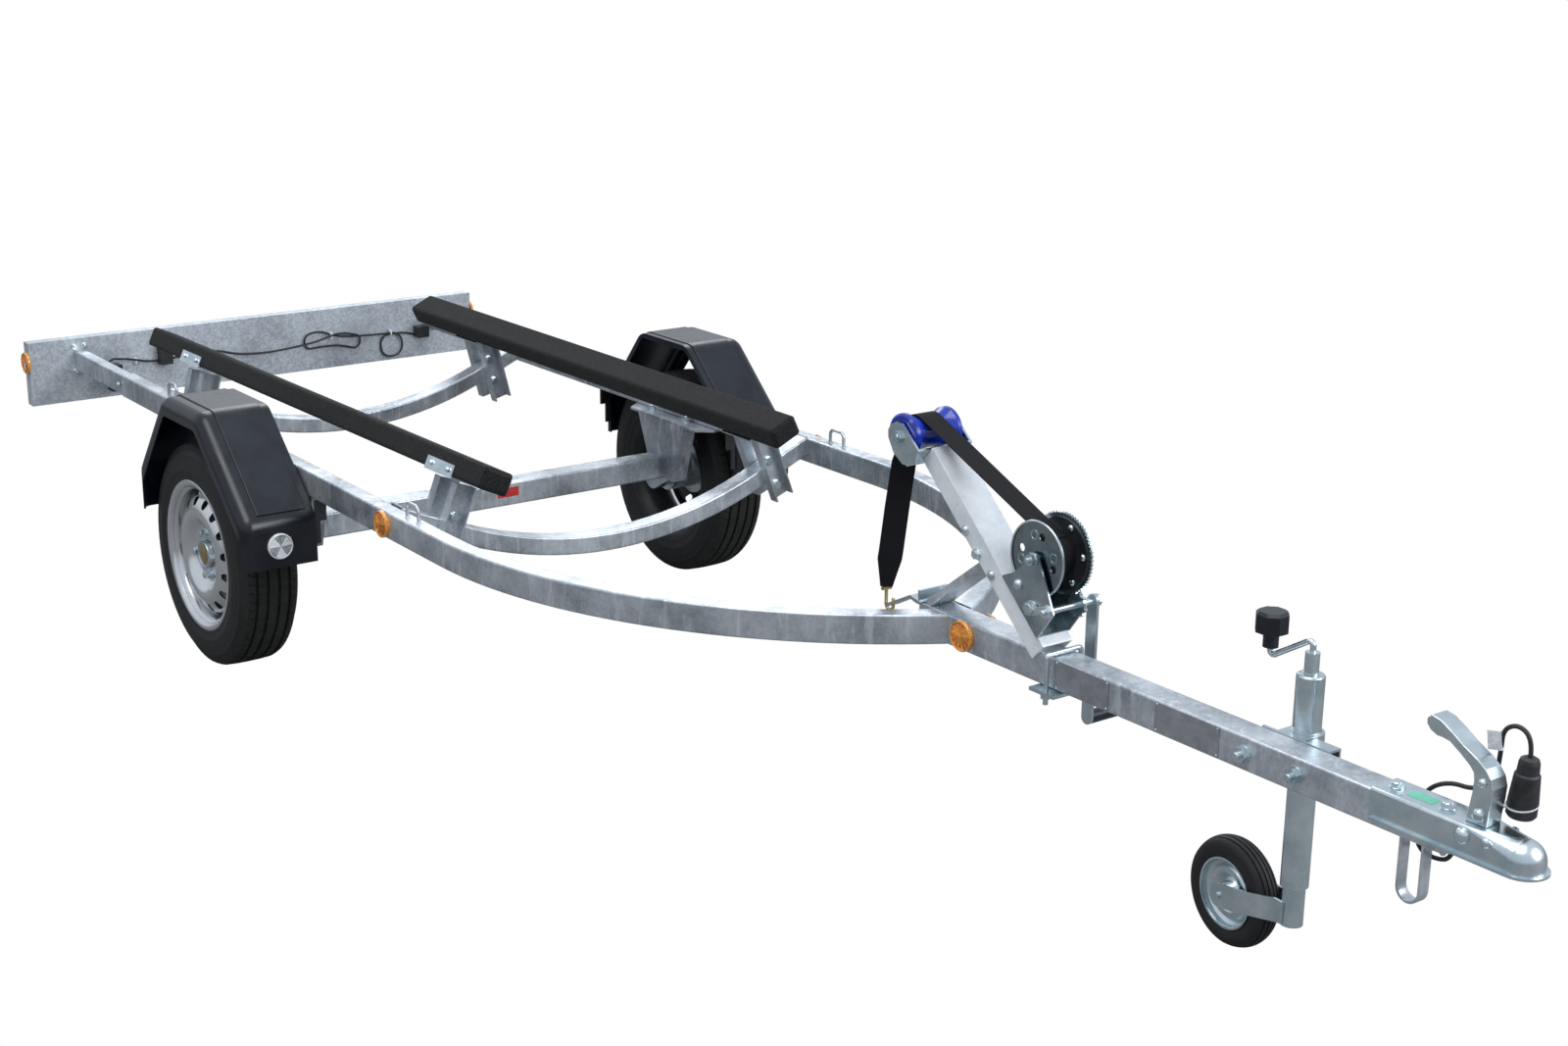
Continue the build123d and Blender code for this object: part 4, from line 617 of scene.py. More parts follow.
# ---- road tyres: rings on the sidewall, straight grooves and fine cuts in the tread ----
GROOVES = ((-40.0, 3.2), (-14.0, 3.6), (14.0, 3.6), (40.0, 3.2))
GROOVE_DEPTH = 6.5
GROOVE_SLOPE = 1.0
GROOVE_LIP = 0.6
LIP_DROP = 0.9
RIB_HALF = 13.0
TREAD_HALF = 57.5
TREAD_CROWN = 0.00075
SIDE_RINGS = (
    # radius, offset from the tyre's middle
    (166.0, 64.0), (172.0, 69.0), (178.0, 71.2), (183.0, 72.6), (186.0, 73.8), (189.0, 73.6),
    (192.0, 74.2), (203.0, 76.2), (205.0, 77.0), (208.0, 77.1), (210.0, 76.7), (222.0, 76.5),
    (234.0, 74.4), (240.0, 72.8), (242.0, 73.1), (245.0, 72.0), (247.0, 70.5), (254.0, 66.4),
    (260.0, 62.6), (265.0, 60.0),
)
SHOULDER_RINGS = 3  # the last rings of the sidewall, which look like tread
CUTS_PER_TURN = 76
CUT_STEPS = ((0.0, 0), (0.82, 0), (0.86, 1), (0.96, 1))  # share of a cut's pitch, and cut or not
CUT_SKEW = 0.055  # degrees for each millimetre across


def tread_radius(offset):
    return TYRE_R - TREAD_CROWN * offset * offset


def tread_line():
    """(radius, offset, depth of a cross cut) across the tread, from -Y to +Y."""
    shoulder = ((266.6, TREAD_HALF, 2.2), (268.8, 53.0, 3.0), (tread_radius(49.0), 49.0, 3.0))
    line = [(r, -off, cut) for r, off, cut in shoulder]
    for middle, half in GROOVES:
        crown = tread_radius(middle)
        cut = 2.2 if abs(middle) > 20 else 1.4
        line += [
            (tread_radius(middle - half - GROOVE_LIP), middle - half - GROOVE_LIP, cut),
            (crown - LIP_DROP, middle - half, 0.0),
            (crown - GROOVE_DEPTH, middle - half + GROOVE_SLOPE, 0.0),
            (crown - GROOVE_DEPTH, middle + half - GROOVE_SLOPE, 0.0),
            (crown - LIP_DROP, middle + half, 0.0),
            (tread_radius(middle + half + GROOVE_LIP), middle + half + GROOVE_LIP, cut),
        ]
        if (middle, half) != GROOVES[-1]:
            line.append((tread_radius(middle + RIB_HALF), middle + RIB_HALF, 0.3))
    return line + list(reversed(shoulder))


def road_tyre(side, suffix):
    bm = bmesh.new()
    section = [(r, -off, 0.0) for r, off in SIDE_RINGS] + tread_line()
    section += [(r, off, 0.0) for r, off in reversed(SIDE_RINGS)]
    columns = []
    for cut in range(CUTS_PER_TURN):
        for part, sunk in CUT_STEPS:
            turn = 2 * math.pi * (cut + part) / CUTS_PER_TURN
            column = []
            for radius, offset, depth in section:
                way = turn + math.radians(CUT_SKEW * max(-TREAD_HALF, min(TREAD_HALF, offset)))
                r = radius - depth * sunk
                spot = (r * math.sin(way), side * WHEEL_Y + offset, TYRE_R + r * math.cos(way))
                column.append(bm.verts.new(spot))
            columns.append(column)
    first_tread = len(SIDE_RINGS) - SHOULDER_RINGS
    last_tread = len(section) - first_tread
    for a, b in zip(columns, columns[1:] + columns[:1]):
        for k in range(len(section)):
            j = (k + 1) % len(section)
            face = bm.faces.new((a[k], b[k], b[j], a[j]))
            face.material_index = 1 if first_tread <= k < last_tread - 1 else 0
    body, hidden = "wheel_" + suffix, ("tyre_" + suffix,)
    piece("road_tyre_" + suffix, bm, "tyre", body, smooth_angle=32, hides=hidden, second="tread")


# ---- road wheels: barrel, vented disc, lug bolts, valve and hub cap ----
BARREL = (
    # radius, offset outward from the wheel's middle, round the closed section
    (183.0, 71.4), (182.7, 73.3), (180.5, 74.5), (176.0, 74.1), (171.0, 71.5), (167.2, 67.0),
    (165.2, 61.5), (160.6, 59.6), (158.4, 56.0), (157.0, 40.0), (155.0, 29.0), (149.0, 19.0),
    (146.6, 10.0), (146.6, -46.0), (152.0, -52.0), (158.0, -60.0), (164.0, -66.0), (172.0, -69.6),
    (180.0, -71.0), (182.0, -69.4), (180.0, -67.6), (172.0, -66.2), (165.0, -62.0), (154.0, -46.0),
    (149.0, -40.0), (149.0, 9.0), (152.0, 17.0), (159.0, 29.0), (161.0, 54.0), (165.4, 58.0),
    (168.6, 64.0), (174.0, 69.0), (181.0, 70.2),
)
DISC = (
    # radius, offset of the outer face
    (33.8, 44.0), (60.0, 44.0), (66.0, 45.4), (72.0, 49.4), (79.0, 56.6), (86.0, 62.8), (93.0, 66.8),
    (100.0, 68.5), (106.0, 68.4), (111.0, 67.3), (116.0, 65.5), (124.0, 61.8), (132.0, 57.2),
    (138.0, 52.6), (141.5, 48.4), (144.4, 41.0), (145.8, 30.0),
)
DISC_THICK = 3.5
DISC_SKIRT = 1.6
BACK_BELOW = 1.0  # a face this far under the disc's outer face is on its back, and takes painted shade
VENT_RING = (115.0, 141.5)
VENT_MID_R = 129.5
VENT_HALF = 10.0
VENT_COUNT = 16
VENT_STEPS = 8
VENT_SIDE_STEPS = 4
VENT_HALF_ANGLE = (4.4, 0.9)  # degrees at the opening's middle, and what it gains outward
VENT_SQUARENESS = 0.62
VENT_LOOPS = (0.0, 0.45, 1.0)  # from the edge of a share to its opening
BOLT_COUNT = 4
BOLT_TURN = 5
BOLT_RING_R = 50.0
BOLT_SEAT = 44.0
BOLT_COLLAR = ((13, 0), (11.5, 3), (10, 4))
BOLT_ACROSS = 17
BOLT_HEAD = (3, 17)  # from and to, above its seat
BOLT_END = ((8.2, 0), (7, 1.2), (0, 1.8))
VALVE_R = 151
VALVE = ((5.5, 22), (5.5, 40), (4.0, 42), (4.0, 58), (3.0, 59))
CAP_RIM = ((31.9, 50), (33.2, 52), (33.6, 56.4), (32.6, 58.4), (29.6, 58.8), (28.4, 57.2))
HUB_CAP = ((28.2, 56.2), (24, 57.8), (12, 58.9), (0, 59.2))
INSIDE_TO = 26.0  # the barrel's faces nearer the trailer than this take painted shade
MERGE = 0.01


def disc_face(r):
    """Offset of the disc's outer face at a radius."""
    for (r0, h0), (r1, h1) in zip(DISC, DISC[1:]):
        if r <= r1:
            return h0 + (h1 - h0) * (r - r0) / (r1 - r0)
    return DISC[-1][1]


def add_vent_sector(bm, matrix, turn):
    """One share of the disc's vented ring: a rounded opening inside a patch, front, back and wall."""
    half_turn = math.pi / VENT_COUNT
    steps = [(-1 + 2 * k / VENT_STEPS, -1.0) for k in range(VENT_STEPS)]
    steps += [(1.0, -1 + 2 * k / VENT_SIDE_STEPS) for k in range(VENT_SIDE_STEPS)]
    steps += [(-across, -along) for across, along in steps]
    low, high = VENT_RING
    angle_half, angle_gain = VENT_HALF_ANGLE
    loops = []
    for share in VENT_LOOPS:
        loop = []
        for across, along in steps:
            edge = (across * half_turn, (low + high) / 2 + along * (high - low) / 2)
            way = math.atan2(along, across)
            u, v = (math.copysign(abs(c) ** VENT_SQUARENESS, c) for c in (math.cos(way), math.sin(way)))
            hole = (u * math.radians(angle_half + angle_gain * v), VENT_MID_R + v * VENT_HALF)
            angle, r = (a + (b - a) * share for a, b in zip(edge, hole))
            loop.append((turn + angle, r))
        loops.append(loop)
    sheets = []
    for sunk in (0.0, DISC_THICK):
        rows = [
            [bm.verts.new(matrix @ turned(r, angle, disc_face(r) - sunk)) for angle, r in loop]
            for loop in loops
        ]
        sheets.append(rows)
        for outer, inner in zip(rows, rows[1:]):
            add_wall(bm, outer, inner)
    add_wall(bm, sheets[0][-1], sheets[1][-1])


def wheel_trim(side, suffix):
    body = "wheel_" + suffix
    out = facing((0, side, 0), (0, side * WHEEL_Y, TYRE_R))
    back = out.inverted()
    low, high = VENT_RING
    inner = [(low, disc_face(low))] + [p for p in reversed(DISC) if p[0] < low]
    inner += [(r, h - DISC_THICK) for r, h in reversed(inner)]
    outer = [(high, disc_face(high))] + [p for p in DISC if p[0] > high]
    outer += [(r - DISC_SKIRT, h) for r, h in reversed(outer[1:])] + [(high, disc_face(high) - DISC_THICK)]
    bm = bmesh.new()
    for profile in (inner, outer):
        add_lathe(bm, profile, out, VENT_COUNT * VENT_STEPS, closed_ends=False)
    for k in range(VENT_COUNT):
        add_vent_sector(bm, out, 2 * math.pi * (k + 0.5) / VENT_COUNT)
    bmesh.ops.remove_doubles(bm, verts=bm.verts, dist=MERGE)
    # the disc's back faces take the second material, painted shade
    for face in bm.faces:
        spot = back @ face.calc_center_median()
        if spot.z < disc_face(math.hypot(spot.x, spot.y)) - BACK_BELOW:
            face.material_index = 1
    hidden = ("rim_" + suffix,)
    piece("wheel_disc_" + suffix, bm, "rim_paint", body, smooth_angle=40, hides=hidden, second="rim_inside")
    bm = bmesh.new()
    add_lathe(bm, BARREL + BARREL[:1], out, 128, closed_ends=False)
    bmesh.ops.remove_doubles(bm, verts=bm.verts, dist=MERGE)
    # the barrel's faces on the trailer's side take the second material, painted shade
    for face in bm.faces:
        if (back @ face.calc_center_median()).z < INSIDE_TO:
            face.material_index = 1
    piece("wheel_barrel_" + suffix, bm, "rim_paint", body, smooth_angle=50, second="rim_inside")
    bm = bmesh.new()
    head_low, head_high = BOLT_HEAD
    for k in range(BOLT_COUNT):
        turn = math.radians(360 / BOLT_COUNT * k + BOLT_TURN)
        seat = out @ Matrix.Translation(turned(BOLT_RING_R, turn, BOLT_SEAT))
        add_lathe(bm, BOLT_COLLAR, seat, 24)
        add_prism(bm, hexagon(BOLT_ACROSS, 20 * k), head_high - head_low, lifted(seat, head_low))
        add_lathe(bm, BOLT_END, lifted(seat, head_high), 20)
    add_lathe(bm, VALVE, out @ Matrix.Translation((0, VALVE_R, 0)), 14)
    piece("lug_bolts_" + suffix, bm, "zinc", body, smooth_angle=35)
    for name, profile, key in (("cap_rim_", CAP_RIM, "zinc_dull"), ("hub_cap_", HUB_CAP, "gold_cap")):
        bm = bmesh.new()
        add_lathe(bm, profile, out, 48)
        piece(name + suffix, bm, key, body, smooth_angle=40)


for side, suffix in ((1, "left"), (-1, "right")):
    road_tyre(side, suffix)
    wheel_trim(side, suffix)


# ---- jockey wheel's tyre: straight grooves round a rounded tread ----
JOCKEY_SIDE = ((64.7, 20.3), (72.0, 23.2), (81.0, 24.3), (88.5, 22.8), (93.4, 19.6))
JOCKEY_GROOVES = (-13.0, -4.4, 4.4, 13.0)
JOCKEY_GROOVE_HALF = 1.5
JOCKEY_GROOVE_DEPTH = 2.6
JOCKEY_GROOVE_STEPS = ((-1.0, 0.0), (-0.7, 1.0), (0.7, 1.0), (1.0, 0.0))  # of its half width and depth
JOCKEY_RIB_HALF = 4.3
JOCKEY_R = 99.4
JOCKEY_CROWN = 0.0155


def jockey_tread(offset):
    return JOCKEY_R - JOCKEY_CROWN * offset * offset


roll = next(j for j in frame["record"]["behaviour"]["joints"] if j["name"] == "jockey_roll")
unparked = PARKED.inverted()
jockey_spin = facing(unparked.to_3x3() @ Vector(roll["axis"]), unparked @ Vector(roll["pos_m"]))
line = [(r, -off) for r, off in JOCKEY_SIDE]
for middle in JOCKEY_GROOVES:
    for offset, sunk in JOCKEY_GROOVE_STEPS:
        at = middle + offset * JOCKEY_GROOVE_HALF
        line.append((jockey_tread(at) - sunk * JOCKEY_GROOVE_DEPTH, at))
    line.append((jockey_tread(middle + JOCKEY_RIB_HALF), middle + JOCKEY_RIB_HALF))
line += [(r, off) for r, off in reversed(JOCKEY_SIDE)]
bm = bmesh.new()
add_lathe(bm, line + line[:1], jockey_spin, 96, closed_ends=False)
bmesh.ops.remove_doubles(bm, verts=bm.verts, dist=MERGE)
piece("jockey_tyre_tread", bm, "tyre", "jockey_wheel", smooth_angle=40, hides=("jockey_tyre",))

# ---- reflectors: a raised ring round a clear face of tilted wedges, every other pair of wedges in a darker copy of the lens as painted shade ----
WEDGES = 12
WEDGE_EDGES = ((0, 5.0), (1, 7.0))  # which side of a wedge, and its height there
FACE_R = 26.8
FACE_MIDDLE = 7.0
REFLECTOR_RING = ((30.0, 0.0), (30.0, 5.8), (28.8, 7.8), (27.4, 8.0), (26.6, 5.0))
RAIL_REFLECTOR = (689.0, 588.0, 494.5)
BAR_REFLECTOR = (1963.0, 30.3, 494.5)
END_REFLECTOR = (-1282.0, 695.8, 499.0)
GUARD_REFLECTOR = (348.3, 680.0, 374.0)


def reflectors(name, spots, key, shaded_key, hides):
    bm = bmesh.new()
    for spot, direction in spots:
        matrix = facing(direction, spot)
        add_lathe(bm, REFLECTOR_RING, matrix, 48, closed_ends=False)
        middle = bm.verts.new(matrix @ Vector((0, 0, FACE_MIDDLE)))
        for k in range(WEDGES):
            rim = [
                bm.verts.new(matrix @ turned(FACE_R, 2 * math.pi * (k + edge) / WEDGES, high))
                for edge, high in WEDGE_EDGES
            ]
            # every other pair of wedges takes the darker copy of the lens: painted shade
            bm.faces.new((middle, *rim)).material_index = k // 2 % 2
    piece(name, bm, key, hides=(hides,), second=shaded_key)


FORE, LEFT, RIGHT, UP, DOWN = (1, 0, 0), (0, 1, 0), (0, -1, 0), (0, 0, 1), (0, 0, -1)
orange_spots = [
    ((x, side * y, z), (0, side, 0))
    for side in (1, -1)
    for x, y, z in (RAIL_REFLECTOR, BAR_REFLECTOR, END_REFLECTOR)
]
reflectors("orange_reflectors", orange_spots, "orange_lens", "orange_dark", "side_reflectors")
x, y, z = GUARD_REFLECTOR
white_spots = [((x, side * y, z), FORE) for side in (1, -1)]
reflectors("white_reflectors", white_spots, "white_lens", "white_lens_dark", "front_reflectors")

# ---- bolts, nuts and rivets, by tables of spot, facing, size and head ----
def bolt_set(name, table):
    bm = bmesh.new()
    for spot, direction, size, head, turn in table:
        add_bolt(bm, spot, direction, size, head, turn)
    piece(name, bm, "zinc", smooth_angle=35)


def mirrored(table):
    """The same rows on both sides of the trailer."""
    rows = []
    for (x, y, z), (dx, dy, dz), size, head, turn in table:
        for side in (1, -1):
            rows.append(((x, side * y, z), (dx, side * dy, dz), size, head, turn))
    return rows


bolt_set(
    "frame_bolts",
    mirrored(
        (
            ((42, 525, 464.3), UP, 12, "nut", 10),
            ((200, 530, 464.3), UP, 12, "nut", 40),
            ((42, 525, 458.0), DOWN, 12, "hex", 0),
            ((200, 530, 458.0), DOWN, 12, "hex", 25),
            ((-1262.7, 537, 534), FORE, 8, "nut", 0),
            ((-1262.7, 566, 534), FORE, 8, "nut", 20),
            ((-1262.7, 537, 462), FORE, 8, "nut", 10),
            ((-1262.7, 566, 462), FORE, 8, "nut", 35),
            ((-930, 537.2, 495), RIGHT, 10, "hex", 15),
            ((-960, 533.6, 495), RIGHT, 10, "hex", 15),
            ((-905, 574.2, 494), LEFT, 8, "dome", 0),
        )
    ),
)

BUNK_REAR = Vector((-1010.0, 404.0, 581.0))
BUNK_FRONT = Vector((838.0, 386.0, 590.0))
BUNK_TILT = math.radians(25.0)
ARC_MID_Z = 380.0 + 1000.0
ARC_R = 1000.0 + 21.0
ARC_END = math.radians(23.6)
POSTS = ((678.0, 21.0), (-691.0, 14.0))  # X, and lean in degrees
POST_FACE = 29.6
POST_BOLTS = (-33.0, 33.0)
PAD_FOOT = (42.8, 14.0)  # from the bunk's middle, across and under it
PAD_BOLTS = (-55.0, 20.0)
REACH_STEP = 0.5


def arc_height(y):
    """Middle of the cross arc on its straight outer end."""
    return ARC_MID_Z - ARC_R * math.cos(ARC_END) + (abs(y) - ARC_R * math.sin(ARC_END)) * math.tan(ARC_END)


post_bolts = []
pad_bolts = []
across = Vector((0, math.cos(BUNK_TILT), math.sin(BUNK_TILT)))
under = Vector((0, math.sin(BUNK_TILT), -math.cos(BUNK_TILT)))
for x, lean in POSTS:
    along = (x - BUNK_REAR.x) / (BUNK_FRONT.x - BUNK_REAR.x)
    middle = BUNK_REAR.lerp(BUNK_FRONT, along)
    down = Vector((0, math.sin(math.radians(lean)), -math.cos(math.radians(lean))))
    reach = 0.0
    while (middle + down * reach).z > arc_height((middle + down * reach).y):
        reach += REACH_STEP
    for offset in POST_BOLTS:
        spot = middle + down * (reach + offset)
        for sense, head in ((1, "hex"), (-1, "nut")):
            post_bolts.append(((x + sense * POST_FACE, spot.y, spot.z), (sense, 0, 0), 12, head, 15))
    foot = middle + across * PAD_FOOT[0]
    foot += under * PAD_FOOT[1]
    for shift in PAD_BOLTS:
        pad_bolts.append(((x + shift, foot.y, foot.z), tuple(across), 6, "hex", 0))
bolt_set("post_bolts", mirrored(post_bolts))
bolt_set("pad_bolts", mirrored(pad_bolts))

bolt_set(
    "stand_bolts",
    (
        ((1967, -36, 703), RIGHT, 9, "dome", 0),
        ((2002, -36, 666), RIGHT, 10, "hex", 20),
        ((2043, -36, 636), RIGHT, 9, "dome", 0),
        ((1967, 36, 703), LEFT, 9, "dome", 0),
        ((2002, 36, 666), LEFT, 10, "nut", 20),
        ((2206, -41.3, 457.3), DOWN, 10, "nut", 0),
        ((2206, 41.3, 457.3), DOWN, 10, "nut", 30),
        ((2667, -30.1, 494), RIGHT, 15, "nut", 0),
        ((2778, -30.1, 494), RIGHT, 15, "nut", 22),
        ((2954, 0, 528.4), UP, 12, "hex", 12),
        ((3051, 0, 528.4), UP, 12, "hex", 40),
        ((3104, -33.9, 511), RIGHT, 13, "dome", 0),
        ((3147, -33.9, 515), RIGHT, 8, "dome", 0),
        ((3104, 33.9, 511), LEFT, 13, "dome", 0),
        ((3147, 33.9, 515), LEFT, 8, "dome", 0),
        ((3118, -18.1, 544), RIGHT, 11, "dome", 0),
        ((3119, -18.1, 596), RIGHT, 7, "dome", 0),
        ((3118, 18.1, 544), LEFT, 11, "dome", 0),
        ((2975, 0, 464.2), DOWN, 10, "nut", 0),
        ((3049, 0, 464.2), DOWN, 10, "nut", 0),
    ),
)

# ---- winch: gears, edges of the flange and its holes, rivets, nuts, pawl and the roll of strap ----
DRUM = (2158.0, 697.0)
PINION = (2202.0, 611.0)
FLANGE_Y = -31.0
FLANGE_EDGE = ((66.5, -0.6), (69.2, -0.2), (70.4, 1.0), (69.6, 2.4), (67.6, 2.8), (66.4, 1.6))
HOLE_EDGE = ((7.5, -0.4), (7.9, 0.7), (9.0, 0.7), (9.2, -0.2))
HOLE_RING_R = 43
HOLE_TURN = 76
RIVET_COUNT = 6
RIVET_RING_R = 57.5
RIVET_TURN = 6
PAWL_AT = (2159, -44.5, 606)
PAWL = ((-12, -10), (-4, -13), (24, -6), (40, 8), (36, 14), (18, 8), (2, 12), (-10, 9))
ROLL_R = (20.5, 38.4)
ROLL_EDGES = ((-27.9, -27.0), (24.6, 25.6))


def add_gear(bm, centre, y, width, root, tip, teeth, hole):
    outline = [
        (2 * math.pi * (k + part) / teeth, radius)
        for k in range(teeth)
        for part, radius in ((0.0, root), (0.22, root), (0.36, tip), (0.64, tip), (0.78, root))
    ]
    matrix = facing(LEFT, (centre[0], y, centre[1]))

    def loop(level, bore=None):
        return [bm.verts.new(matrix @ turned(bore or radius, turn, level)) for turn, radius in outline]

    low, high, hole_low, hole_high = loop(0), loop(width), loop(0, hole), loop(width, hole)
    for i in range(len(outline)):
        j = (i + 1) % len(outline)
        bm.faces.new((low[i], low[j], high[j], high[i]))
        bm.faces.new((low[i], hole_low[i], hole_low[j], low[j]))
        bm.faces.new((high[i], high[j], hole_high[j], hole_high[i]))
        bm.faces.new((hole_low[i], hole_high[i], hole_high[j], hole_low[j]))


bm = bmesh.new()
add_gear(bm, DRUM, 28.3, 5.4, 73.6, 77.0, 64, 60.0)
add_gear(bm, PINION, 27.0, 8.0, 19.0, 23.4, 12, 8.0)
piece("winch_gears", bm, "zinc", smooth_angle=30)
bm = bmesh.new()
near = facing(RIGHT, (DRUM[0], FLANGE_Y, DRUM[1]))
add_lathe(bm, FLANGE_EDGE, near, 72, closed_ends=False)
for k in range(4):
    turn = math.radians(HOLE_TURN + 90 * k)
    hole = near @ Matrix.Translation((-HOLE_RING_R * math.cos(turn), HOLE_RING_R * math.sin(turn), 0))
    add_lathe(bm, HOLE_EDGE, hole, 24, closed_ends=False)
piece("flange_edges", bm, "zinc", smooth_angle=60)
rivets = []
for k in range(RIVET_COUNT):
    turn = math.radians(RIVET_TURN + 360 / RIVET_COUNT * k)
    x, z = DRUM[0] + RIVET_RING_R * math.cos(turn), DRUM[1] + RIVET_RING_R * math.sin(turn)
    rivets.append(((x, 25.9, z), RIGHT, 6, "dome", 0))
bolt_set("drum_rivets", rivets)
bolt_set(
    "winch_bolts",
    (
        ((DRUM[0], -41.2, DRUM[1]), RIGHT, 12, "nut", 8),
        ((PINION[0], -41.2, PINION[1]), RIGHT, 12, "nut", 20),
        ((2159, -41.1, 606), RIGHT, 14, "hex", 5),
        ((2121, -41.1, 640), RIGHT, 10, "dome", 0),
        ((DRUM[0], 41.2, DRUM[1]), LEFT, 12, "nut", 0),
        ((2159, 41.1, 606), LEFT, 12, "nut", 0),
        ((PINION[0], 72.1, PINION[1]), LEFT, 12, "nut", 0),
    ),
)
bm = bmesh.new()
add_prism(bm, PAWL, 3.5, facing(RIGHT, PAWL_AT))
piece("winch_pawl", bm, "zinc", bevel=0.8)
bm = bmesh.new()
inside, outside = ROLL_R
for y0, y1 in ROLL_EDGES:
    edge = ((inside, 0), (outside, 0), (outside, y1 - y0), (inside, y1 - y0))
    add_lathe(bm, edge, facing(LEFT, (DRUM[0], y0, DRUM[1])), 48)
piece("strap_roll_edges", bm, "webbing", smooth_angle=40)

# ---- coupling: a painted shade sheet over its top slot, and its blank label; the axle's blank label ----
COUPLING_TOP = 528.35
SLOT_AT = 3167
SLOT_HALF = (13, 3.2)
LABEL = ((2980, -9), (2983, -12), (3027, -12), (3030, -9), (3030, 9), (3027, 12), (2983, 12), (2980, 9))
AXLE_FRONT = (136.05, 136.35)
# a thin near-black sheet on the coupling's top where its slot is: painted shade
bm = bmesh.new()
slot = [(SLOT_HALF[0] * math.cos(t), SLOT_HALF[1] * math.sin(t)) for t in full_turn(24)]
add_prism(bm, slot, 0.25, facing(UP, (SLOT_AT, 0, COUPLING_TOP)))
piece("coupling_slot_painted_shade", bm, "dark_gap")
bm = bmesh.new()
add_prism(bm, LABEL, 0.3, Matrix.Translation((0, 0, COUPLING_TOP)))
piece("coupling_label", bm, "green_label")
bm = bmesh.new()
add_box(bm, AXLE_FRONT, (2.0, 63.0), (326.0, 350.0))
piece("axle_label", bm, "red_label")

# ---- identity plates: their corner rivets ----
PLATES_X = ((2216.0, 2352.0), (2465.0, 2613.0))
PLATE_FACE_Y = -31.2
bm = bmesh.new()
for x0, x1 in PLATES_X:
    for x, z in ((x0 + 4, 471.0), (x1 - 4, 471.0), (x0 + 4, 518.0), (x1 - 4, 518.0)):
        add_lathe(bm, ((2.4, 0), (2.2, 0.6), (1.2, 1.1), (0, 1.2)), facing(RIGHT, (x, PLATE_FACE_Y, z)), 14)
piece("plate_rivets", bm, "zinc", smooth_angle=50)


# ---- weld beads ----
RIPPLE_PITCH = 2.2
ARC_HALF = 25.0
ARC_WELD = (20.0, 22.5)  # half the upright beads' height, and where the level ones lie
EYES_X = (795.0, -561.0)
EYE_HALF = 26.0
EYE_BEAD_R = 4.6
RAIL_TOP = 525.0
CLAMP_TUBE = (2709, 72)
CLAMP_BEAD_R = 25.0


def bead(bm, start, end, radius, seed):
    """A weld bead between two points, with its ripples."""
    a, b = Vector(start), Vector(end)
    count = max(6, int((b - a).length / RIPPLE_PITCH))
    draw = random.Random(seed)
    sizes = [radius * (0.82 + 0.18 * math.sin(k * 1.9) + 0.10 * draw.random()) for k in range(count + 1)]
    add_tube(bm, [a.lerp(b, k / count) for k in range(count + 1)], lambda k: sizes[k], 8)


def level_ring(x, y, z, radius, count):
    return [(x + radius * math.cos(t), y + radius * math.sin(t), z) for t in full_turn(count)]


def rail_mid_y(x):
    """Middle of a side rail, which spreads by 16 mm over its straight 1835 mm."""
    return 554.0 + 16.0 / 1835.0 * (x + 885.0)


bm = bmesh.new()
tall, level = ARC_WELD
for side in (1, -1):
    for x, _ in POSTS:
        y = side * (rail_mid_y(x) - 20.0)
        z = arc_height(y)
        for dx in (-ARC_HALF, ARC_HALF):
            bead(bm, (x + dx, y, z - tall), (x + dx, y, z + tall), 2.4, int(x + dx) + 7 * side)
        for dz, factor in ((level, 3), (-level, 5)):
            bead(bm, (x - ARC_HALF, y, z + dz), (x + ARC_HALF, y, z + dz), 2.4, int(x) + factor * side)
    for x in EYES_X:
        for dx in (-EYE_HALF, EYE_HALF):
            ring = level_ring(x + dx, side * rail_mid_y(x), RAIL_TOP, EYE_BEAD_R, 12)
            add_tube(bm, ring, 1.5, 6, cyclic=True)
piece("frame_welds", bm, "galvanised", smooth_angle=60)
bm = bmesh.new()
for side in (1, -1):
    bead(bm, (1916.0, side * 30.4, 466.0), (1916.0, side * 30.4, 523.0), 2.0, 11)
    bead(bm, (1846.0, side * 30.6, RAIL_TOP), (1914.0, side * 30.4, RAIL_TOP), 2.0, 12)
piece("drawbar_welds", bm, "galvanised", smooth_angle=60)
bm = bmesh.new()
for z in (525.6, 469.4):
    add_tube(bm, level_ring(*CLAMP_TUBE, z, CLAMP_BEAD_R, 48), 1.9, 6, cyclic=True)
piece("clamp_welds", bm, "zinc_dull", smooth_angle=60)

# ---- the free cable to the plug, along the route of its solid, and what is on it ----
FRONT_ROUTE = (
    (3066.0, 6.0, 470.0), (3055.0, 12.0, 442.0), (3027.0, 19.0, 429.0), (2994.0, 20.0, 430.0),
    (2967.0, 37.0, 446.0), (2954.0, 54.0, 472.0), (2958.0, 58.0, 502.0), (2980.0, 58.0, 527.0),
    (3014.0, 55.0, 543.0), (3048.0, 52.0, 546.0), (3078.0, 48.0, 560.0), (3098.0, 44.0, 588.0),
    (3102.0, 43.0, 628.0), (3102.0, 43.0, 663.0), (3127.0, 44.0, 677.5), (3152.0, 45.0, 663.0),
    (3152.0, 45.0, 634.3),
)
CABLE_R = 3.7
cable_curve = bpy.data.curves.new("front_cord", "CURVE")
cable_curve.dimensions = "3D"
cable_curve.bevel_depth = CABLE_R / 1000
cable_curve.bevel_resolution = 5
cable_curve.resolution_u = 12
cable_curve.use_fill_caps = True
cable_line = cable_curve.splines.new("NURBS")
cable_line.points.add(len(FRONT_ROUTE) - 1)
for point, spot in zip(cable_line.points, FRONT_ROUTE):
    point.co = (*place(*spot), 1.0)
cable_line.order_u = 3
cable_line.use_endpoint_u = True
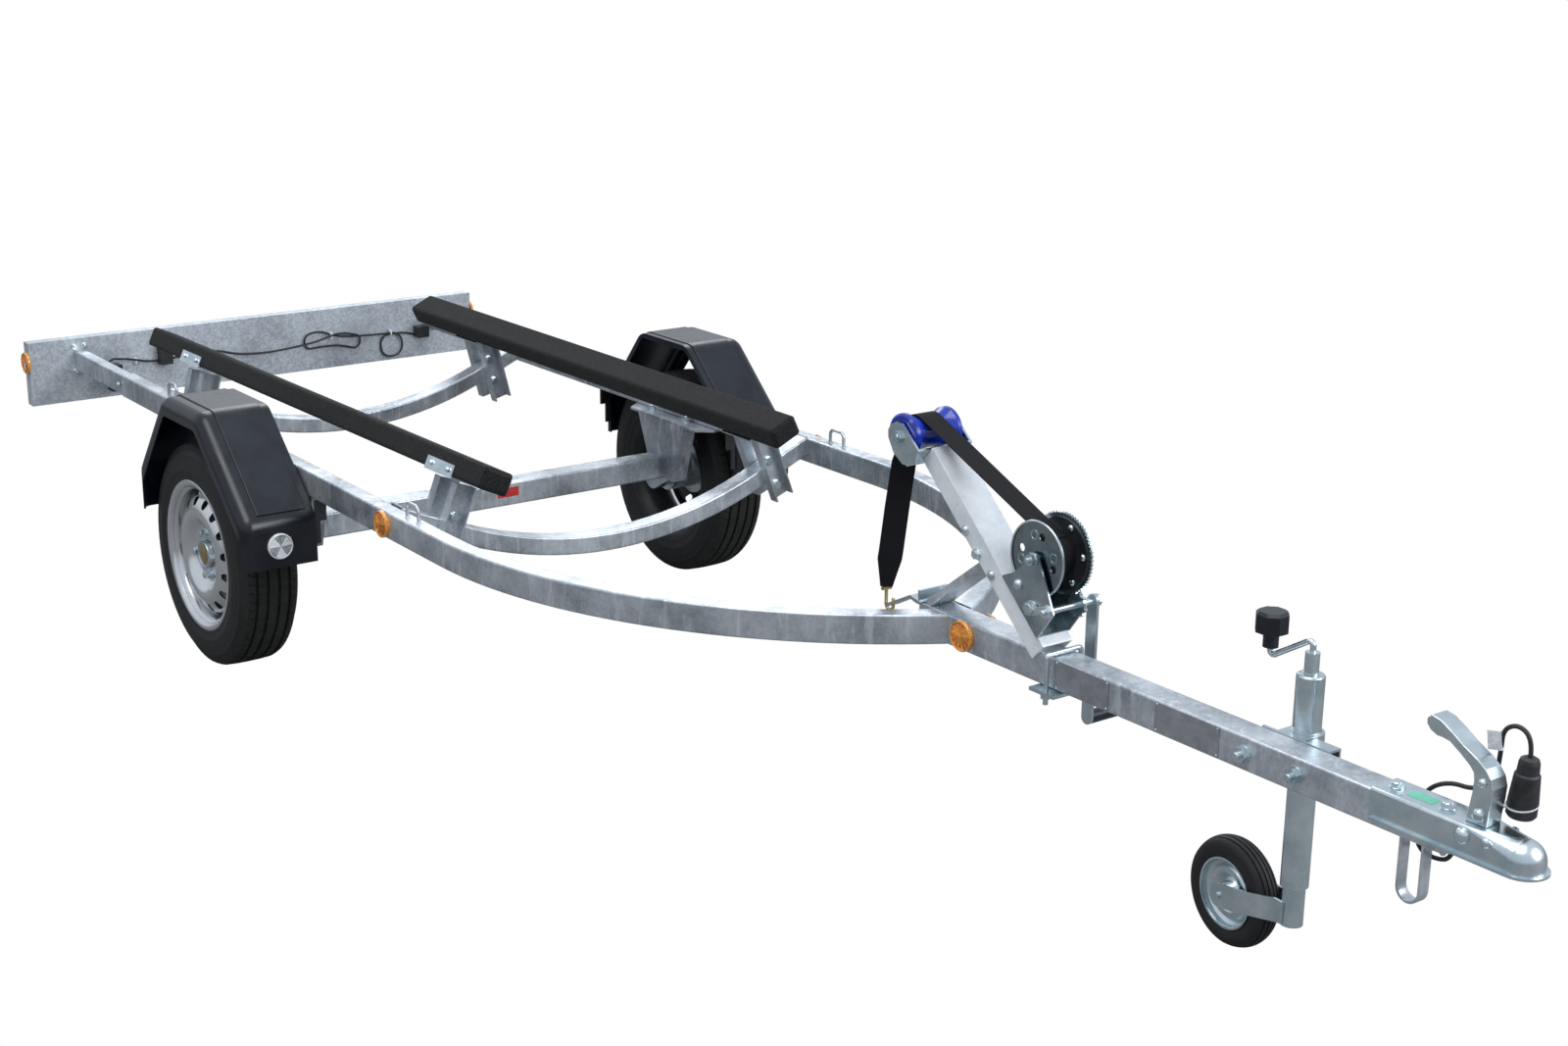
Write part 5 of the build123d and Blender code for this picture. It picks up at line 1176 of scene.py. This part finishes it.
cable_curve.materials.append(MAT["black_rubber"])
front_cord = new_object("front_cord", cable_curve)
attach(front_cord, "frame")
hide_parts("front_cable")

# ---- cable ties, the plug's tie and the cable's tag ----
CABLE_TIES = ((-1254.0, 413.0, 461.0, 6.0), (-1252.0, 214.0, 473.0, 9.0), (-1254.0, -395.0, 470.0, 6.0))
TIE_HALF = 7.0
PLUG_LOW = Vector((3146.6, 45.0, 557.0))
PLUG_TIE = (23.4, 23.4, 4.0)
PLUG_TIE_TAIL = ((3135, 24.6, 556), (3130, 21, 551), (3126, 18.5, 545))
TAG_OUTLINE = (
    (-4.6, 0.0), (-3.0, 3.9), (1.5, 4.6), (6.0, 1.6), (19.0, 0.5),
    (19.0, -0.5), (6.0, -1.6), (1.5, -4.6), (-3.0, -3.9),
)
TAG_HEIGHT = 30.0
TAG_AT = (3101.6, 43.0, 629.0)
TAG_TURN, TAG_TILT = math.radians(-158), math.radians(8)
bm = bmesh.new()
for x, y, z, across in CABLE_TIES:
    ring = [(x + TIE_HALF * math.cos(t), y, z + across * math.sin(t) * 1.1) for t in full_turn(20)]
    add_tube(bm, ring, 2.2, 6, cyclic=True)
    add_box(bm, (x - 6, x + 6), (y - 4, y + 4), (z + across, z + across + 6))
piece("cable_ties", bm, "white_tie", smooth_angle=60)
bm = bmesh.new()
wide, deep, rise = PLUG_TIE
offsets = [(wide * math.cos(t), deep * math.sin(t), rise * math.sin(t)) for t in full_turn(40)]
add_tube(bm, [PLUG_LOW + Vector(offset) for offset in offsets], 1.5, 6, cyclic=True)
add_tube(bm, PLUG_TIE_TAIL, 1.5, 6)
plug_tie = piece("plug_tie", bm, "white_tie", smooth_angle=60)
bm = bmesh.new()
tag_turn = Matrix.Rotation(TAG_TURN, 4, "Z") @ Matrix.Rotation(TAG_TILT, 4, "Y")
add_prism(bm, TAG_OUTLINE, TAG_HEIGHT, Matrix.Translation(TAG_AT) @ tag_turn)
cable_tag = piece("cable_tag", bm, "white_tie", smooth_angle=50)
